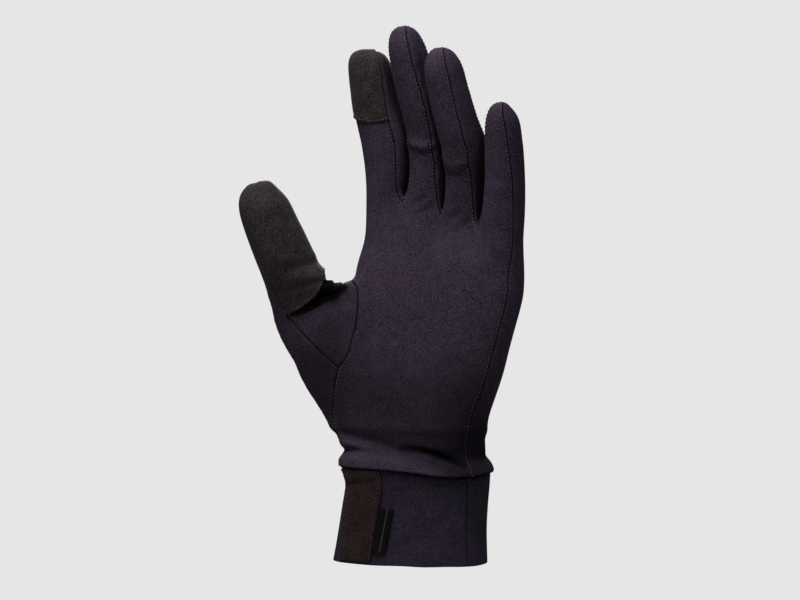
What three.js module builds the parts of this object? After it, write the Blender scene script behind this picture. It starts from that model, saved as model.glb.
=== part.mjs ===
// A thin knitted glove liner for the left hand, shown filled as if a hand were in it.
//
// The glove is cut and sewn as a real one is. A palm panel carries the fronts of the four fingers and
// a back panel carries their backs and the back of the thumb. Three narrow side strips run up and
// down between the fingers, a front panel closes the thumb, and a folded band makes the cuff. Touch
// patches lie on the thumb and on the index fingertip, and a suede strip with a small plain tab is
// sewn to the cuff. Every piece is a wall of cloth, and the hand goes in through the cuff.
//
// Frame: millimetres, the origin in the middle of the cuff's opening, +Z towards the fingertips, -Y
// out of the palm, and +X from the thumb towards the little finger.
import * as THREE from "three";

// Driving dimensions, in millimetres.
const CLOTH = 1.2; // thickness of the knitted cloth
const PATCH_CLOTH = 0.8; // thickness of the touch patches and the suede strip
const TAB_CLOTH = 1;
const CUFF_CLOTH = 2.2; // the cuff is folded double
const SEAM_GAP = 0.3; // open line between two pieces that are sewn together
const CUFF_HEIGHT = 44; // from the opening up to the seam where the hand begins
const CUFF_WIDTH = 72;
const CUFF_DEPTH = 46;
const PALM_LENGTH = 122; // from the cuff seam to the crotch beside the index finger
const PALM_WIDTH = 82;
const PALM_DEPTH = 31;
const PALM_HOLLOW = 2.5; // how far the middle of the palm sinks in
const THUMB_REACH = 40; // how far the thumb's root stands out beside the palm
const THUMB_CURL = 12; // how far the thumb's root comes forward of the palm
const THUMB_ROOT_DROP = 15.6; // the line where the thumb begins sinks this much at its outer side
const THUMB_TILT = 0.3; // rise of the thumb's cross-sections towards the palm, per length across
const WEB_RISE = 1; // the web between thumb and palm arches this much over its ends
const WEB_SHIFT = 5; // and its middle stands this much towards the thumb
const GUSSET_FOLD = 2.2; // the fold that lies below the thumb's patch
const FINGER_FOLD = 1; // the folds across the fingers
const WRIST_FOLD = 1.6; // the folds round the wrist

// The digits. A station is a cross-section, and every length in it is a share: along, across and
// forward are shares of the digit's length, wide and deep of its half width and half depth. turn is
// the way the pad is turned towards the thumb, in degrees. root places the digit on the palm as
// shares of the palm's width, depth and length, and crotches holds the levels on its two sides.
const INDEX = {
  length: 71.2,
  width: 20.4,
  depth: 20,
  cap: 8, // length of the rounded tip
  fold: 0.2,
  root: { across: -0.138, forward: 0, level: 0.978 },
  crotches: { radial: 0.96, ulnar: 0.995 },
  stations: [
    { along: 0, across: -0.004, forward: 0, wide: 0.86, deep: 0.93, turn: 0 },
    { along: 0.2, across: 0.012, forward: 0.02, wide: 0.95, deep: 0.97, turn: 6 },
    { along: 0.4, across: 0.006, forward: 0.048, wide: 1, deep: 1, turn: 9 },
    { along: 0.6, across: -0.022, forward: 0.082, wide: 1, deep: 1, turn: 8 },
    { along: 0.8, across: -0.039, forward: 0.12, wide: 0.96, deep: 0.98, turn: 4 },
    { along: 1, across: -0.058, forward: 0.158, wide: 0.9, deep: 0.95, turn: 0 },
  ],
};
const MIDDLE = {
  length: 82.4,
  width: 18,
  depth: 19,
  cap: 13,
  fold: 1,
  root: { across: 0.116, forward: -0.05, level: 0.965 },
  crotches: { radial: 0.995, ulnar: 0.938 },
  stations: [
    { along: 0, across: -0.002, forward: 0, wide: 0.92, deep: 0.94, turn: 0 },
    { along: 0.2, across: 0.018, forward: 0.03, wide: 0.93, deep: 0.97, turn: 12 },
    { along: 0.4, across: 0.018, forward: 0.077, wide: 0.97, deep: 1, turn: 17 },
    { along: 0.6, across: -0.006, forward: 0.14, wide: 0.98, deep: 0.97, turn: 19 },
    { along: 0.8, across: -0.039, forward: 0.196, wide: 0.95, deep: 0.93, turn: 24 },
    { along: 1, across: -0.063, forward: 0.244, wide: 0.9, deep: 0.88, turn: 28 },
  ],
};
const RING = {
  length: 77.2,
  width: 18.2,
  depth: 20,
  cap: 12,
  fold: 1,
  root: { across: 0.317, forward: -0.016, level: 0.918 },
  crotches: { radial: 0.938, ulnar: 0.897 },
  stations: [
    { along: 0, across: 0.004, forward: 0, wide: 0.9, deep: 0.9, turn: 0 },
    { along: 0.2, across: 0.045, forward: 0.047, wide: 0.92, deep: 0.97, turn: 12 },
    { along: 0.4, across: 0.056, forward: 0.135, wide: 0.98, deep: 1, turn: 20 },
    { along: 0.6, across: 0.029, forward: 0.209, wide: 0.98, deep: 0.97, turn: 22 },
    { along: 0.8, across: -0.004, forward: 0.275, wide: 0.93, deep: 0.89, turn: 20 },
    { along: 1, across: -0.022, forward: 0.329, wide: 0.87, deep: 0.82, turn: 25 },
  ],
};
const LITTLE = {
  length: 57.8,
  width: 17.6,
  depth: 18,
  cap: 11,
  fold: 0.3,
  root: { across: 0.557, forward: 0.097, level: 0.873 },
  crotches: { radial: 0.897, ulnar: 0.852 },
  stations: [
    { along: 0, across: 0.01, forward: 0, wide: 1.04, deep: 1.04, turn: 0 },
    { along: 0.2, across: 0.037, forward: 0.037, wide: 1.03, deep: 1.02, turn: 5 },
    { along: 0.4, across: 0.064, forward: 0.092, wide: 0.98, deep: 0.98, turn: 10 },
    { along: 0.6, across: 0.076, forward: 0.151, wide: 0.94, deep: 0.94, turn: 16 },
    { along: 0.8, across: 0.083, forward: 0.21, wide: 0.86, deep: 0.86, turn: 23 },
    { along: 1, across: 0.089, forward: 0.269, wide: 0.78, deep: 0.78, turn: 27 },
  ],
};
const THUMB = {
  length: 48,
  width: 24.6,
  depth: 22,
  cap: 12,
  fold: 0,
  root: { across: -0.614, forward: 0.45, level: 0.672 },
  stations: [
    { along: 0, across: 0, forward: 0, wide: 0.98, deep: 0.95, turn: -30 },
    { along: 0.2, across: -0.055, forward: 0.06, wide: 1.02, deep: 1, turn: -31 },
    { along: 0.4, across: -0.12, forward: 0.12, wide: 1, deep: 1, turn: -32 },
    { along: 0.6, across: -0.197, forward: 0.165, wide: 0.95, deep: 0.98, turn: -32 },
    { along: 0.8, across: -0.262, forward: 0.205, wide: 0.9, deep: 0.95, turn: -32 },
    { along: 1, across: -0.31, forward: 0.23, wide: 0.86, deep: 0.92, turn: -32 },
  ],
};
const FINGERS = [INDEX, MIDDLE, RING, LITTLE];

// Cross-sections of the hand from the cuff seam up to the fingers. level is a share of the palm's
// length, across, ulnar and radial are shares of its width, deep of its half depth. reach and curl
// are shares of THUMB_REACH and THUMB_CURL.
const HAND = [
  { level: 0, across: 0.037, ulnar: 0.437, radial: 0.43, deep: 1.5, reach: 0, curl: 0 },
  { level: 0.098, across: 0.026, ulnar: 0.418, radial: 0.416, deep: 1.36, reach: 0.03, curl: 0 },
  { level: 0.164, across: 0.018, ulnar: 0.433, radial: 0.433, deep: 1.29, reach: 0.12, curl: 0.05 },
  { level: 0.246, across: 0.045, ulnar: 0.454, radial: 0.454, deep: 1.19, reach: 0.29, curl: 0.25 },
  { level: 0.361, across: 0.088, ulnar: 0.472, radial: 0.472, deep: 1.1, reach: 0.54, curl: 0.55 },
  { level: 0.475, across: 0.123, ulnar: 0.482, radial: 0.482, deep: 1.03, reach: 0.775, curl: 0.75 },
  { level: 0.623, across: 0.167, ulnar: 0.502, radial: 0.502, deep: 1, reach: 0.94, curl: 0.92 },
  { level: 0.697, across: 0.171, ulnar: 0.505, radial: 0.505, deep: 0.97, reach: 1, curl: 1 },
  { level: 0.779, across: 0.188, ulnar: 0.489, radial: 0.5, deep: 0.94, reach: 1, curl: 1 },
  { level: 0.852, across: 0.206, ulnar: 0.477, radial: 0.477, deep: 0.9, reach: 1, curl: 1 },
  { level: 1, across: 0.221, ulnar: 0.467, radial: 0.467, deep: 0.87, reach: 1, curl: 1 },
];

// Where the palm's seam beside the thumb, the thumb's outer seam and the middle of the thumb's back
// lie across the hand, as shares of the palm's width.
const SEAMS = [
  { level: 0, palm: -0.352, thumb: -0.352, back: -0.2 },
  { level: 0.098, palm: -0.346, thumb: -0.346, back: -0.22 },
  { level: 0.172, palm: -0.38, thumb: -0.38, back: -0.24 },
  { level: 0.254, palm: -0.358, thumb: -0.358, back: -0.255 },
  { level: 0.361, palm: -0.324, thumb: -0.324, back: -0.27 },
  { level: 0.434, palm: -0.284, thumb: -0.43, back: -0.28 },
  { level: 0.516, palm: -0.243, thumb: -0.565, back: -0.275 },
  { level: 0.615, palm: -0.224, thumb: -0.658, back: -0.26 },
  { level: 0.697, palm: -0.238, thumb: -0.7, back: -0.245 },
];

// Folds that run round the wrist just above the cuff, as shares of WRIST_FOLD: out of the plain
// section or, where negative, into it.
const WRIST_FOLDS = [
  { level: 0, swell: 0.3 },
  { level: 0.018, swell: 0.25 },
  { level: 0.042, swell: -1 },
  { level: 0.068, swell: -0.75 },
  { level: 0.094, swell: -0.4 },
  { level: 0.125, swell: 0.55 },
  { level: 0.165, swell: 0.2 },
  { level: 0.22, swell: 0 },
  { level: 1, swell: 0 },
];

// Cross-sections of the cuff from its opening to the seam. level is a share of CUFF_HEIGHT, across,
// wide and deep are shares of CUFF_WIDTH and of its half width and half depth. near and far are the
// edges of the suede strip, in degrees round the section from the little finger side.
const CUFF = [
  { level: 0, across: 0.012, wide: 1.01, deep: 0.98, near: 104, far: 136 },
  { level: 0.28, across: 0.026, wide: 0.975, deep: 0.95, near: 103.5, far: 140.5 },
  { level: 0.59, across: 0.045, wide: 0.95, deep: 0.93, near: 102, far: 145 },
  { level: 0.86, across: 0.066, wide: 0.935, deep: 0.95, near: 102, far: 150 },
  { level: 1, across: 0.048, wide: 0.98, deep: 0.98, near: 102.4, far: 154 },
];
const CUFF_ROWS = [0, 0.025, 0.13, 0.28, 0.44, 0.59, 0.74, 0.88, 0.975, 1];
const STRIP_ROWS = { first: 1, last: 8 };
const TAB_ROWS = { first: 2, last: 5 };
const STRIP_COLUMNS = 5;
const TAB_COLUMNS = 1;
const CUFF_COLUMNS = { front: 8, side: 8, back: 12 }; // columns round the rest of the cuff
const TAB_TURN = 10; // the tab's width, in degrees round the cuff

// The mesh that carries the cloth: columns round a digit and rows along it.
const FRONT_COLUMNS = 4;
const SIDE_COLUMNS = 4;
const HALF_SIDE = SIDE_COLUMNS / 2;
const PALM_COLUMNS = FINGERS.length * FRONT_COLUMNS; // columns across the palm, and across its back
const GAPS = FINGERS.length - 1; // gaps between the fingers
const THUMB_COLUMNS = 5;
const CORNER = 40; // a seam lies this many degrees from the side of a finger
const PALM_CORNER = 30; // and of the palm, on its little finger side
const THUMB_INNER_CORNER = 35;
const THUMB_OUTER_CORNER = 30;
const SECTION_POWER = 2.4; // 2 is an ellipse, more is squarer
const DIGIT_ROWS = [0, 0.08, 0.18, 0.28, 0.34, 0.4, 0.47, 0.54, 0.63, 0.72, 0.8, 0.87, 0.93, 0.975, 1];
const FOLD_ROW = 0.34; // where the folds across the fingers lie
const FOLD_SPREAD = 0.06;
const FOLD_WAVES = 1.5; // a fold swells and sinks over this many spreads on both sides
const INDEX_PATCH_ROW = 7; // the patch runs from this row of the index finger to its tip
const THUMB_ROWS = [0, 0.06, 0.14, 0.24, 0.36, 0.5, 0.64, 0.78, 0.88, 0.945, 1];
const THUMB_PATCH_COLUMNS = 3; // columns of the patch that start at the thumb's root line
const PALM_ROWS = [0.2, 0.4, 0.6, 0.8, 1]; // from the web up to the fingers
const THUMB_SEAM_LEVEL = 0.361; // where the thumb's two front seams meet
const WEB_LEVEL = 0.684; // the web between thumb and palm
const LOWER_ROWS = [0, 0.02, 0.045, 0.07, 0.098, 0.13, 0.172, 0.23, 0.295, THUMB_SEAM_LEVEL];
const THUMB_ROOT_ROWS = [0.25, 0.5, 0.72, 0.88, 1]; // from that meeting point up to the web
const GUSSET_ROW = 0.88;
const OUTER_SINK = 0.7; // share of the thumb's outer side over which its root line sinks
const FRONT_SINK = 0.3; // and the share of its front where that begins
const FRONT_CROWDING = 1.25; // over 1 the columns on the thumb's front crowd towards the palm
const TIP_SEAM = 0.3; // half length of the seam over a fingertip, as a share of the half width
const ROOT_BLEND = 0.15; // share of a finger over which its root closes on its neighbour
const WEB_BLEND = 0.12; // the same for the thumb's inner side
const MOUND_BLEND = 0.45; // and for its outer side
const PALM_BLEND = 0.7; // share of the upper palm over which the web dies out
const HOLLOW = { start: 0.3, full: 0.55, fading: 0.72, end: 0.9 }; // levels of the palm's hollow
const HOLLOW_WIDTH = 0.8; // its half width, as a share of the palm's
const VALLEY = 0.15; // the valleys below the fingers start this far up the upper palm
const MITRE_LIMIT = 1.35; // how far a corner of a wall may be drawn out
const CROTCH_LIFT = 1.6; // how steeply the wall points up where two fingers part
const HALF_TURN = 180;
const FULL_TURN = 360;
const CORNERS = 3; // corners of a triangle
const SHARPEST_CORNER = 1 / 3; // a corner draws back from a seam at most three times as far as an edge
const SAMPLES = 48;
const SAME_LENGTH = 1e-9; // lengths that differ by less count as equal

const COLOURS = {
  palm_panel: 0x322a36,
  back_panel: 0x2c2530,
  fourchette_index_middle: 0x2a232e,
  fourchette_middle_ring: 0x2a232e,
  fourchette_ring_little: 0x2a232e,
  thumb_panel: 0x2b2430,
  index_touch_patch: 0x231f22,
  thumb_touch_patch: 0x231f22,
  cuff_band: 0x262029,
  cuff_grip_strip: 0x21181a,
  cuff_tab: 0x141315,
};
const KNIT_ROUGHNESS = 0.95;
const SUEDE_ROUGHNESS = 0.85;

const UP = new THREE.Vector3(0, 0, 1);
const { degToRad, radToDeg, lerp, clamp, smoothstep } = THREE.MathUtils;

/** Smooth value of one column of a table at a place between its rows. */
function read(rows, key, place, column) {
  const last = rows.length - 1;
  const slope = (row) => {
    const before = rows[Math.max(row - 1, 0)];
    const after = rows[Math.min(row + 1, last)];
    return (after[column] - before[column]) / (after[key] - before[key]);
  };
  const above = rows.findIndex((row) => row[key] >= place);
  const high = above < 0 ? last : Math.max(above, 1);
  const low = high - 1;
  const span = rows[high][key] - rows[low][key];
  const share = clamp((place - rows[low][key]) / span, 0, 1);
  const square = share * share;
  const cube = square * share;
  return (
    rows[low][column] * (2 * cube - 3 * square + 1) +
    rows[high][column] * (3 * square - 2 * cube) +
    slope(low) * span * (cube - 2 * square + share) +
    slope(high) * span * (cube - square)
  );
}

/** Place on a squared circle of half size one: x across, y out of the palm. */
function roundedSquare(angle) {
  const bend = (value) => Math.sign(value) * Math.abs(value) ** (2 / SECTION_POWER);
  return { across: bend(Math.cos(degToRad(angle))), forward: bend(Math.sin(degToRad(angle))) };
}

/** Evenly spaced places between two ends, both included. */
function steps(from, to, count) {
  return Array.from({ length: count + 1 }, (_, i) => lerp(from, to, i / count));
}

/** Points at equal distances along a curve that is given by an angle. */
function spread(curve, from, to, count) {
  const samples = steps(from, to, SAMPLES).map(curve);
  const lengths = [0];
  for (let i = 1; i <= SAMPLES; i += 1) {
    lengths.push(lengths[i - 1] + samples[i].distanceTo(samples[i - 1]));
  }
  return steps(0, lengths[SAMPLES], count).map((length) => {
    const i = clamp(lengths.findIndex((value) => value >= length - SAME_LENGTH), 1, SAMPLES);
    const share = (length - lengths[i - 1]) / (lengths[i] - lengths[i - 1]);
    return samples[i - 1].clone().lerp(samples[i], share);
  });
}

/** A surface made of several pieces that share the points where they meet. */
class Surface {
  constructor() {
    this.points = [];
    this.pieces = new Map();
    this.crotchEnds = [];
  }

  /** Numbers the points of a ring made of lists that meet end to end. */
  ring(lists) {
    const numbered = lists.map((list) => this.row(list.slice(0, -1)));
    return numbered.map((list, i) => [...list, numbered[(i + 1) % numbered.length][0]]);
  }

  /** Numbers the points of an open row. */
  row(points) {
    return points.map((point) => this.points.push(point) - 1);
  }

  /** Adds the faces between two rows of numbered points to each of the named pieces. */
  strip(names, lower, upper) {
    for (let i = 0; i < lower.length - 1; i += 1) {
      const corners = [lower[i], lower[i + 1], upper[i + 1], upper[i]];
      const face = corners.filter((corner, k) => corner !== corners[(k + 1) % corners.length]);
      if (face.length > 2) names.forEach((name) => this.add(name, face));
    }
  }

  add(name, face) {
    if (!this.pieces.has(name)) this.pieces.set(name, []);
    this.pieces.get(name).push(face);
  }

  /** The triangles of one face. */
  triangles(face) {
    if (face.length === CORNERS) return [face];
    const [a, b, c, d] = face;
    const length = (from, to) => this.points[from].distanceTo(this.points[to]);
    return length(a, c) <= length(b, d) ? [[a, b, c], [a, c, d]] : [[a, b, d], [b, c, d]];
  }

  /** Works out which way the surface faces at every point, and how far its corners reach. */
  settle(names) {
    const normals = this.points.map(() => new THREE.Vector3());
    const flats = [];
    const faces = names.flatMap((name) => this.pieces.get(name));
    faces.flatMap((face) => this.triangles(face)).forEach((face) => {
      const [a, b, c] = face.map((corner) => this.points[corner]);
      const flat = b.clone().sub(a).cross(c.clone().sub(a)).normalize();
      face.forEach((corner, k) => {
        const here = this.points[corner];
        const next = this.points[face[(k + 1) % CORNERS]].clone().sub(here);
        const before = this.points[face[(k + 2) % CORNERS]].clone().sub(here);
        const weight = next.angleTo(before);
        normals[corner].addScaledVector(flat, weight);
        flats.push({ corner, flat, weight });
      });
    });
    this.normals = normals.map((normal) => normal.normalize());
    this.crotchEnds.forEach((number) => normals[number].addScaledVector(UP, CROTCH_LIFT).normalize());
    const reach = this.points.map(() => ({ sum: 0, weight: 0 }));
    flats.forEach(({ corner, flat, weight }) => {
      reach[corner].sum += weight * flat.dot(this.normals[corner]);
      reach[corner].weight += weight;
    });
    this.mitres = reach.map(({ sum, weight }) => {
      return sum > 0 ? Math.min(weight / sum, MITRE_LIMIT) : MITRE_LIMIT;
    });
  }

  /** Makes the walls that end at a row of points stand square to the hand's length. */
  square(row) {
    row.forEach((number) => this.normals[number].setZ(0).normalize());
  }

  /** The edges that only one face of a piece uses, each in the direction of its face. */
  border(faces) {
    const edges = new Map();
    faces.forEach((face) => {
      face.forEach((corner, k) => {
        const next = face[(k + 1) % face.length];
        edges.set(`${corner} ${next}`, { corner, next, face });
      });
    });
    return [...edges.values()].filter(({ corner, next }) => !edges.has(`${next} ${corner}`));
  }

  /** How far each border point of a piece draws back so that a gap stays open along the seam. */
  drawBack(border) {
    const ends = new Map();
    border.forEach(({ corner, next, face }) => {
      const [a, b, c] = face.map((number) => this.points[number]);
      const flat = b.clone().sub(a).cross(c.clone().sub(a)).normalize();
      const along = this.points[next].clone().sub(this.points[corner]).normalize();
      const inward = flat.cross(along).normalize();
      [corner, next].forEach((number) => {
        if (!ends.has(number)) ends.set(number, []);
        ends.get(number).push({ along, inward });
      });
    });
    const moves = new Map();
    ends.forEach((edges, number) => {
      const along = edges.reduce((total, edge) => total.add(edge.along), new THREE.Vector3());
      const move = this.normals[number].clone().cross(along).normalize();
      const share = edges.reduce((total, edge) => total + edge.inward.dot(move), 0) / edges.length;
      moves.set(number, move.multiplyScalar(SEAM_GAP / 2 / clamp(share, SHARPEST_CORNER, 1)));
    });
    return moves;
  }

  /** The closed wall of one piece between two heights above the surface. */
  wall(name, low, high) {
    const faces = this.pieces.get(name);
    const border = this.border(faces);
    const moves = this.drawBack(border);
    const numbers = new Map();
    const positions = [];
    const place = (number, height) => {
      const key = `${number} ${height}`;
      if (!numbers.has(key)) {
        const point = this.points[number].clone();
        point.addScaledVector(this.normals[number], height * this.mitres[number]);
        if (moves.has(number)) point.add(moves.get(number));
        numbers.set(key, numbers.size);
        positions.push(point.x, point.y, point.z);
      }
      return numbers.get(key);
    };
    const index = [];
    faces.flatMap((face) => this.triangles(face)).forEach(([a, b, c]) => {
      index.push(place(a, high), place(b, high), place(c, high));
      index.push(place(c, low), place(b, low), place(a, low));
    });
    border.forEach(({ corner, next }) => {
      const [here, there] = [place(corner, high), place(next, high)];
      const [hereBelow, thereBelow] = [place(corner, low), place(next, low)];
      index.push(here, hereBelow, corner < next ? thereBelow : there);
      index.push(corner < next ? here : hereBelow, thereBelow, there);
    });
    const geometry = new THREE.BufferGeometry();
    geometry.setAttribute("position", new THREE.Float32BufferAttribute(positions, 3));
    geometry.setIndex(index);
    geometry.computeVertexNormals();
    return geometry;
  }
}

/** The hand's cross-section at one level, in millimetres. */
function handSection(level) {
  const column = (name) => read(HAND, "level", level, name);
  return {
    across: PALM_WIDTH * column("across"),
    ulnar: PALM_WIDTH * column("ulnar"),
    radial: PALM_WIDTH * column("radial"),
    deep: (PALM_DEPTH / 2) * column("deep"),
    reach: THUMB_REACH * column("reach"),
    curl: THUMB_CURL * column("curl"),
  };
}

/** One point on the hand's outline, with or without the root of the thumb beside it. */
function outlinePoint(level, angle, withThumb) {
  const hand = handSection(level);
  const reach = withThumb ? hand.reach : 0;
  const swell = WRIST_FOLD * read(WRIST_FOLDS, "level", level, "swell");
  const { across, forward } = roundedSquare(angle);
  const half = (across > 0 ? hand.ulnar : hand.radial + reach) + swell;
  const x = hand.across + half * across;
  const beyond = (-half * across - hand.radial / 2) / (hand.radial / 2 + hand.reach);
  const curl = withThumb ? hand.curl * smoothstep(beyond, 0, 1) : 0;
  const aside = smoothstep(Math.abs(x - hand.across) / hand.ulnar, 0, HOLLOW_WIDTH);
  const rising = smoothstep(level, HOLLOW.start, HOLLOW.full);
  const inPalm = rising * (1 - smoothstep(level, HOLLOW.fading, HOLLOW.end));
  const sunk = forward > 0 ? PALM_HOLLOW * (1 - aside) * inPalm : 0;
  const y = -(hand.deep + swell) * forward - curl + sunk;
  return new THREE.Vector3(x, y, CUFF_HEIGHT + PALM_LENGTH * level);
}

/** The angle of the point that lies at a share of the palm's width, in front or at the back. */
function angleAcross(level, share, isFront) {
  const hand = handSection(level);
  const offset = share * PALM_WIDTH - hand.across;
  const half = offset > 0 ? hand.ulnar : hand.radial + hand.reach;
  const ratio = clamp(offset / half, -1, 1);
  const angle = radToDeg(Math.acos(Math.sign(ratio) * Math.abs(ratio) ** (SECTION_POWER / 2)));
  return isFront ? angle : -angle;
}

/** A point of a finger or thumb. angle goes from its little finger side through its pad. */
function digitPoint(digit, along, angle) {
  const column = (name) => read(digit.stations, "along", along, name);
  const left = clamp(((1 - along) * digit.length) / digit.cap, 0, 1);
  const round = Math.sqrt(1 - (1 - left) ** 2);
  const { across, forward } = roundedSquare(angle);
  const offFold = (along - FOLD_ROW) / FOLD_SPREAD;
  const wave = Math.abs(offFold) < FOLD_WAVES ? Math.cos(Math.PI * offFold) : 0;
  const crease = wave * FINGER_FOLD * digit.fold;
  const wide = (digit.width / 2) * column("wide") * lerp(TIP_SEAM, 1, round);
  const deep = (digit.depth / 2) * column("deep") * round + (forward > 0 ? crease : 0);
  const own = { x: wide * across, y: -deep * forward };
  const turn = degToRad(column("turn"));
  const x = own.x * Math.cos(turn) + own.y * Math.sin(turn);
  const y = -own.x * Math.sin(turn) + own.y * Math.cos(turn);
  const lean = rise(digit, along, (own.x * 2) / digit.width);
  return new THREE.Vector3(
    digit.root.across * PALM_WIDTH + digit.length * column("across") + x,
    -digit.root.forward * PALM_DEPTH - digit.length * column("forward") + y,
    CUFF_HEIGHT + digit.root.level * PALM_LENGTH + digit.length * along + lean,
  );
}

/** How much a digit's cross-section leans: towards its crotches, or with the thumb's own tilt. */
function rise(digit, along, across) {
  if (!digit.crotches) return (THUMB_TILT * across * digit.width) / 2;
  const corner = clamp(across / roundedSquare(CORNER).across, -1, 1);
  const slope = (digit.crotches.ulnar - digit.crotches.radial) / 2;
  return PALM_LENGTH * slope * corner * (1 - along) ** 2;
}

const FINGER_ANGLES = {
  front: steps(HALF_TURN - CORNER, CORNER, FRONT_COLUMNS),
  ulnar: steps(CORNER, -CORNER, SIDE_COLUMNS),
  back: steps(-CORNER, CORNER - HALF_TURN, FRONT_COLUMNS),
  radial: steps(CORNER - HALF_TURN, -HALF_TURN - CORNER, SIDE_COLUMNS),
};
const THUMB_ANGLES = {
  front: steps(HALF_TURN - THUMB_OUTER_CORNER, THUMB_INNER_CORNER, THUMB_COLUMNS),
  innerFront: steps(THUMB_INNER_CORNER, 0, HALF_SIDE),
  innerBack: steps(0, -THUMB_INNER_CORNER, HALF_SIDE),
  outer: steps(-THUMB_INNER_CORNER, -HALF_TURN - THUMB_OUTER_CORNER, THUMB_COLUMNS),
};

/** Adds the hand from the cuff seam up to the web. Gives back the numbered rings at the web. */
function addLowerHand(surface) {
  const seam = (level, name) => read(SEAMS, "level", level, name);
  const curve = (level) => (angle) => outlinePoint(level, angle, true);
  const around = (level) => {
    const palm = angleAcross(level, seam(level, "palm"), true);
    const back = angleAcross(level, seam(level, "back"), false);
    return {
      front: spread(curve(level), palm, PALM_CORNER, PALM_COLUMNS),
      side: spread(curve(level), PALM_CORNER, -PALM_CORNER, SIDE_COLUMNS),
      back: spread(curve(level), -PALM_CORNER, back, PALM_COLUMNS),
    };
  };
  const outerPoint = (level, column) => {
    const from = angleAcross(level, seam(level, "back"), false);
    const to = angleAcross(level, seam(level, "thumb"), true) - FULL_TURN;
    return spread(curve(level), from, to, THUMB_COLUMNS)[column];
  };
  let last = null;
  LOWER_ROWS.forEach((level) => {
    const { front, side, back } = around(level);
    const outer = steps(0, THUMB_COLUMNS, THUMB_COLUMNS).map((column) => outerPoint(level, column));
    const [a, b, c, d] = surface.ring([front, side, back, outer]);
    const ring = { front: a, side: b, back: c, outer: d, thumb: Array(THUMB_COLUMNS + 1).fill(a[0]) };
    if (last) joinLowerRings(surface, last, ring);
    last = ring;
  });
  THUMB_ROOT_ROWS.forEach((share) => {
    const level = lerp(THUMB_SEAM_LEVEL, WEB_LEVEL, share);
    const { front, side, back } = around(level);
    const drop = (share * THUMB_ROOT_DROP) / PALM_LENGTH;
    const outer = steps(0, 1, THUMB_COLUMNS).map((part, column) => {
      return outerPoint(level - drop * smoothstep(part, 0, OUTER_SINK), column);
    });
    const thumb = steps(1, 0, THUMB_COLUMNS).map((part) => {
      const sunk = level - drop * smoothstep(part, FRONT_SINK, 1);
      const across = lerp(seam(sunk, "palm"), seam(sunk, "thumb"), part ** FRONT_CROWDING);
      const point = outlinePoint(sunk, angleAcross(sunk, across, true), true);
      point.y += share === GUSSET_ROW ? GUSSET_FOLD * Math.sin(Math.PI * part) : 0;
      return point;
    });
    const [a, b, c, d, e] = surface.ring([front, side, back, outer, thumb]);
    const ring = { front: a, side: b, back: c, outer: d, thumb: e };
    joinLowerRings(surface, last, ring);
    last = ring;
  });
  return last;
}

/** Adds the faces between two rings below the web. */
function joinLowerRings(surface, lower, upper) {
  surface.strip(["palm_panel"], lower.front, upper.front);
  surface.strip(["back_panel"], lower.side, upper.side);
  surface.strip(["back_panel"], lower.back, upper.back);
  surface.strip(["back_panel"], lower.outer, upper.outer);
  surface.strip(["thumb_panel"], lower.thumb, upper.thumb);
}

/** The line over the web, from the front of the hand to its back. */
function addWeb(surface, ring) {
  const [front, back] = [surface.points[ring.front[0]], surface.points[ring.outer[0]]];
  const inner = steps(0, 1, SIDE_COLUMNS).slice(1, -1).map((part) => {
    const point = front.clone().lerp(back, part);
    point.z += WEB_RISE * Math.sin(Math.PI * part);
    point.x -= WEB_SHIFT * Math.sin(Math.PI * part);
    return point;
  });
  return [ring.front[0], ...surface.row(inner), ring.outer[0]];
}

/** Where the four fingers stand on the palm: four lists of points that run round the palm's top. */
function palmTop() {
  const root = (digit, side) => FINGER_ANGLES[side].map((angle) => digitPoint(digit, 0, angle));
  const across = (side, fingers) => {
    const lists = fingers.map((digit) => root(digit, side));
    return lists.flatMap((list, i) => {
      const start = i > 0 ? list[0].clone().lerp(lists[i - 1][FRONT_COLUMNS], 0.5) : list[0];
      const end = i === lists.length - 1 ? [list[FRONT_COLUMNS]] : [];
      return [start, ...list.slice(1, FRONT_COLUMNS), ...end];
    });
  };
  return {
    front: across("front", FINGERS),
    side: root(LITTLE, "ulnar"),
    back: across("back", [...FINGERS].reverse()),
    radial: root(INDEX, "radial"),
  };
}

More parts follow.
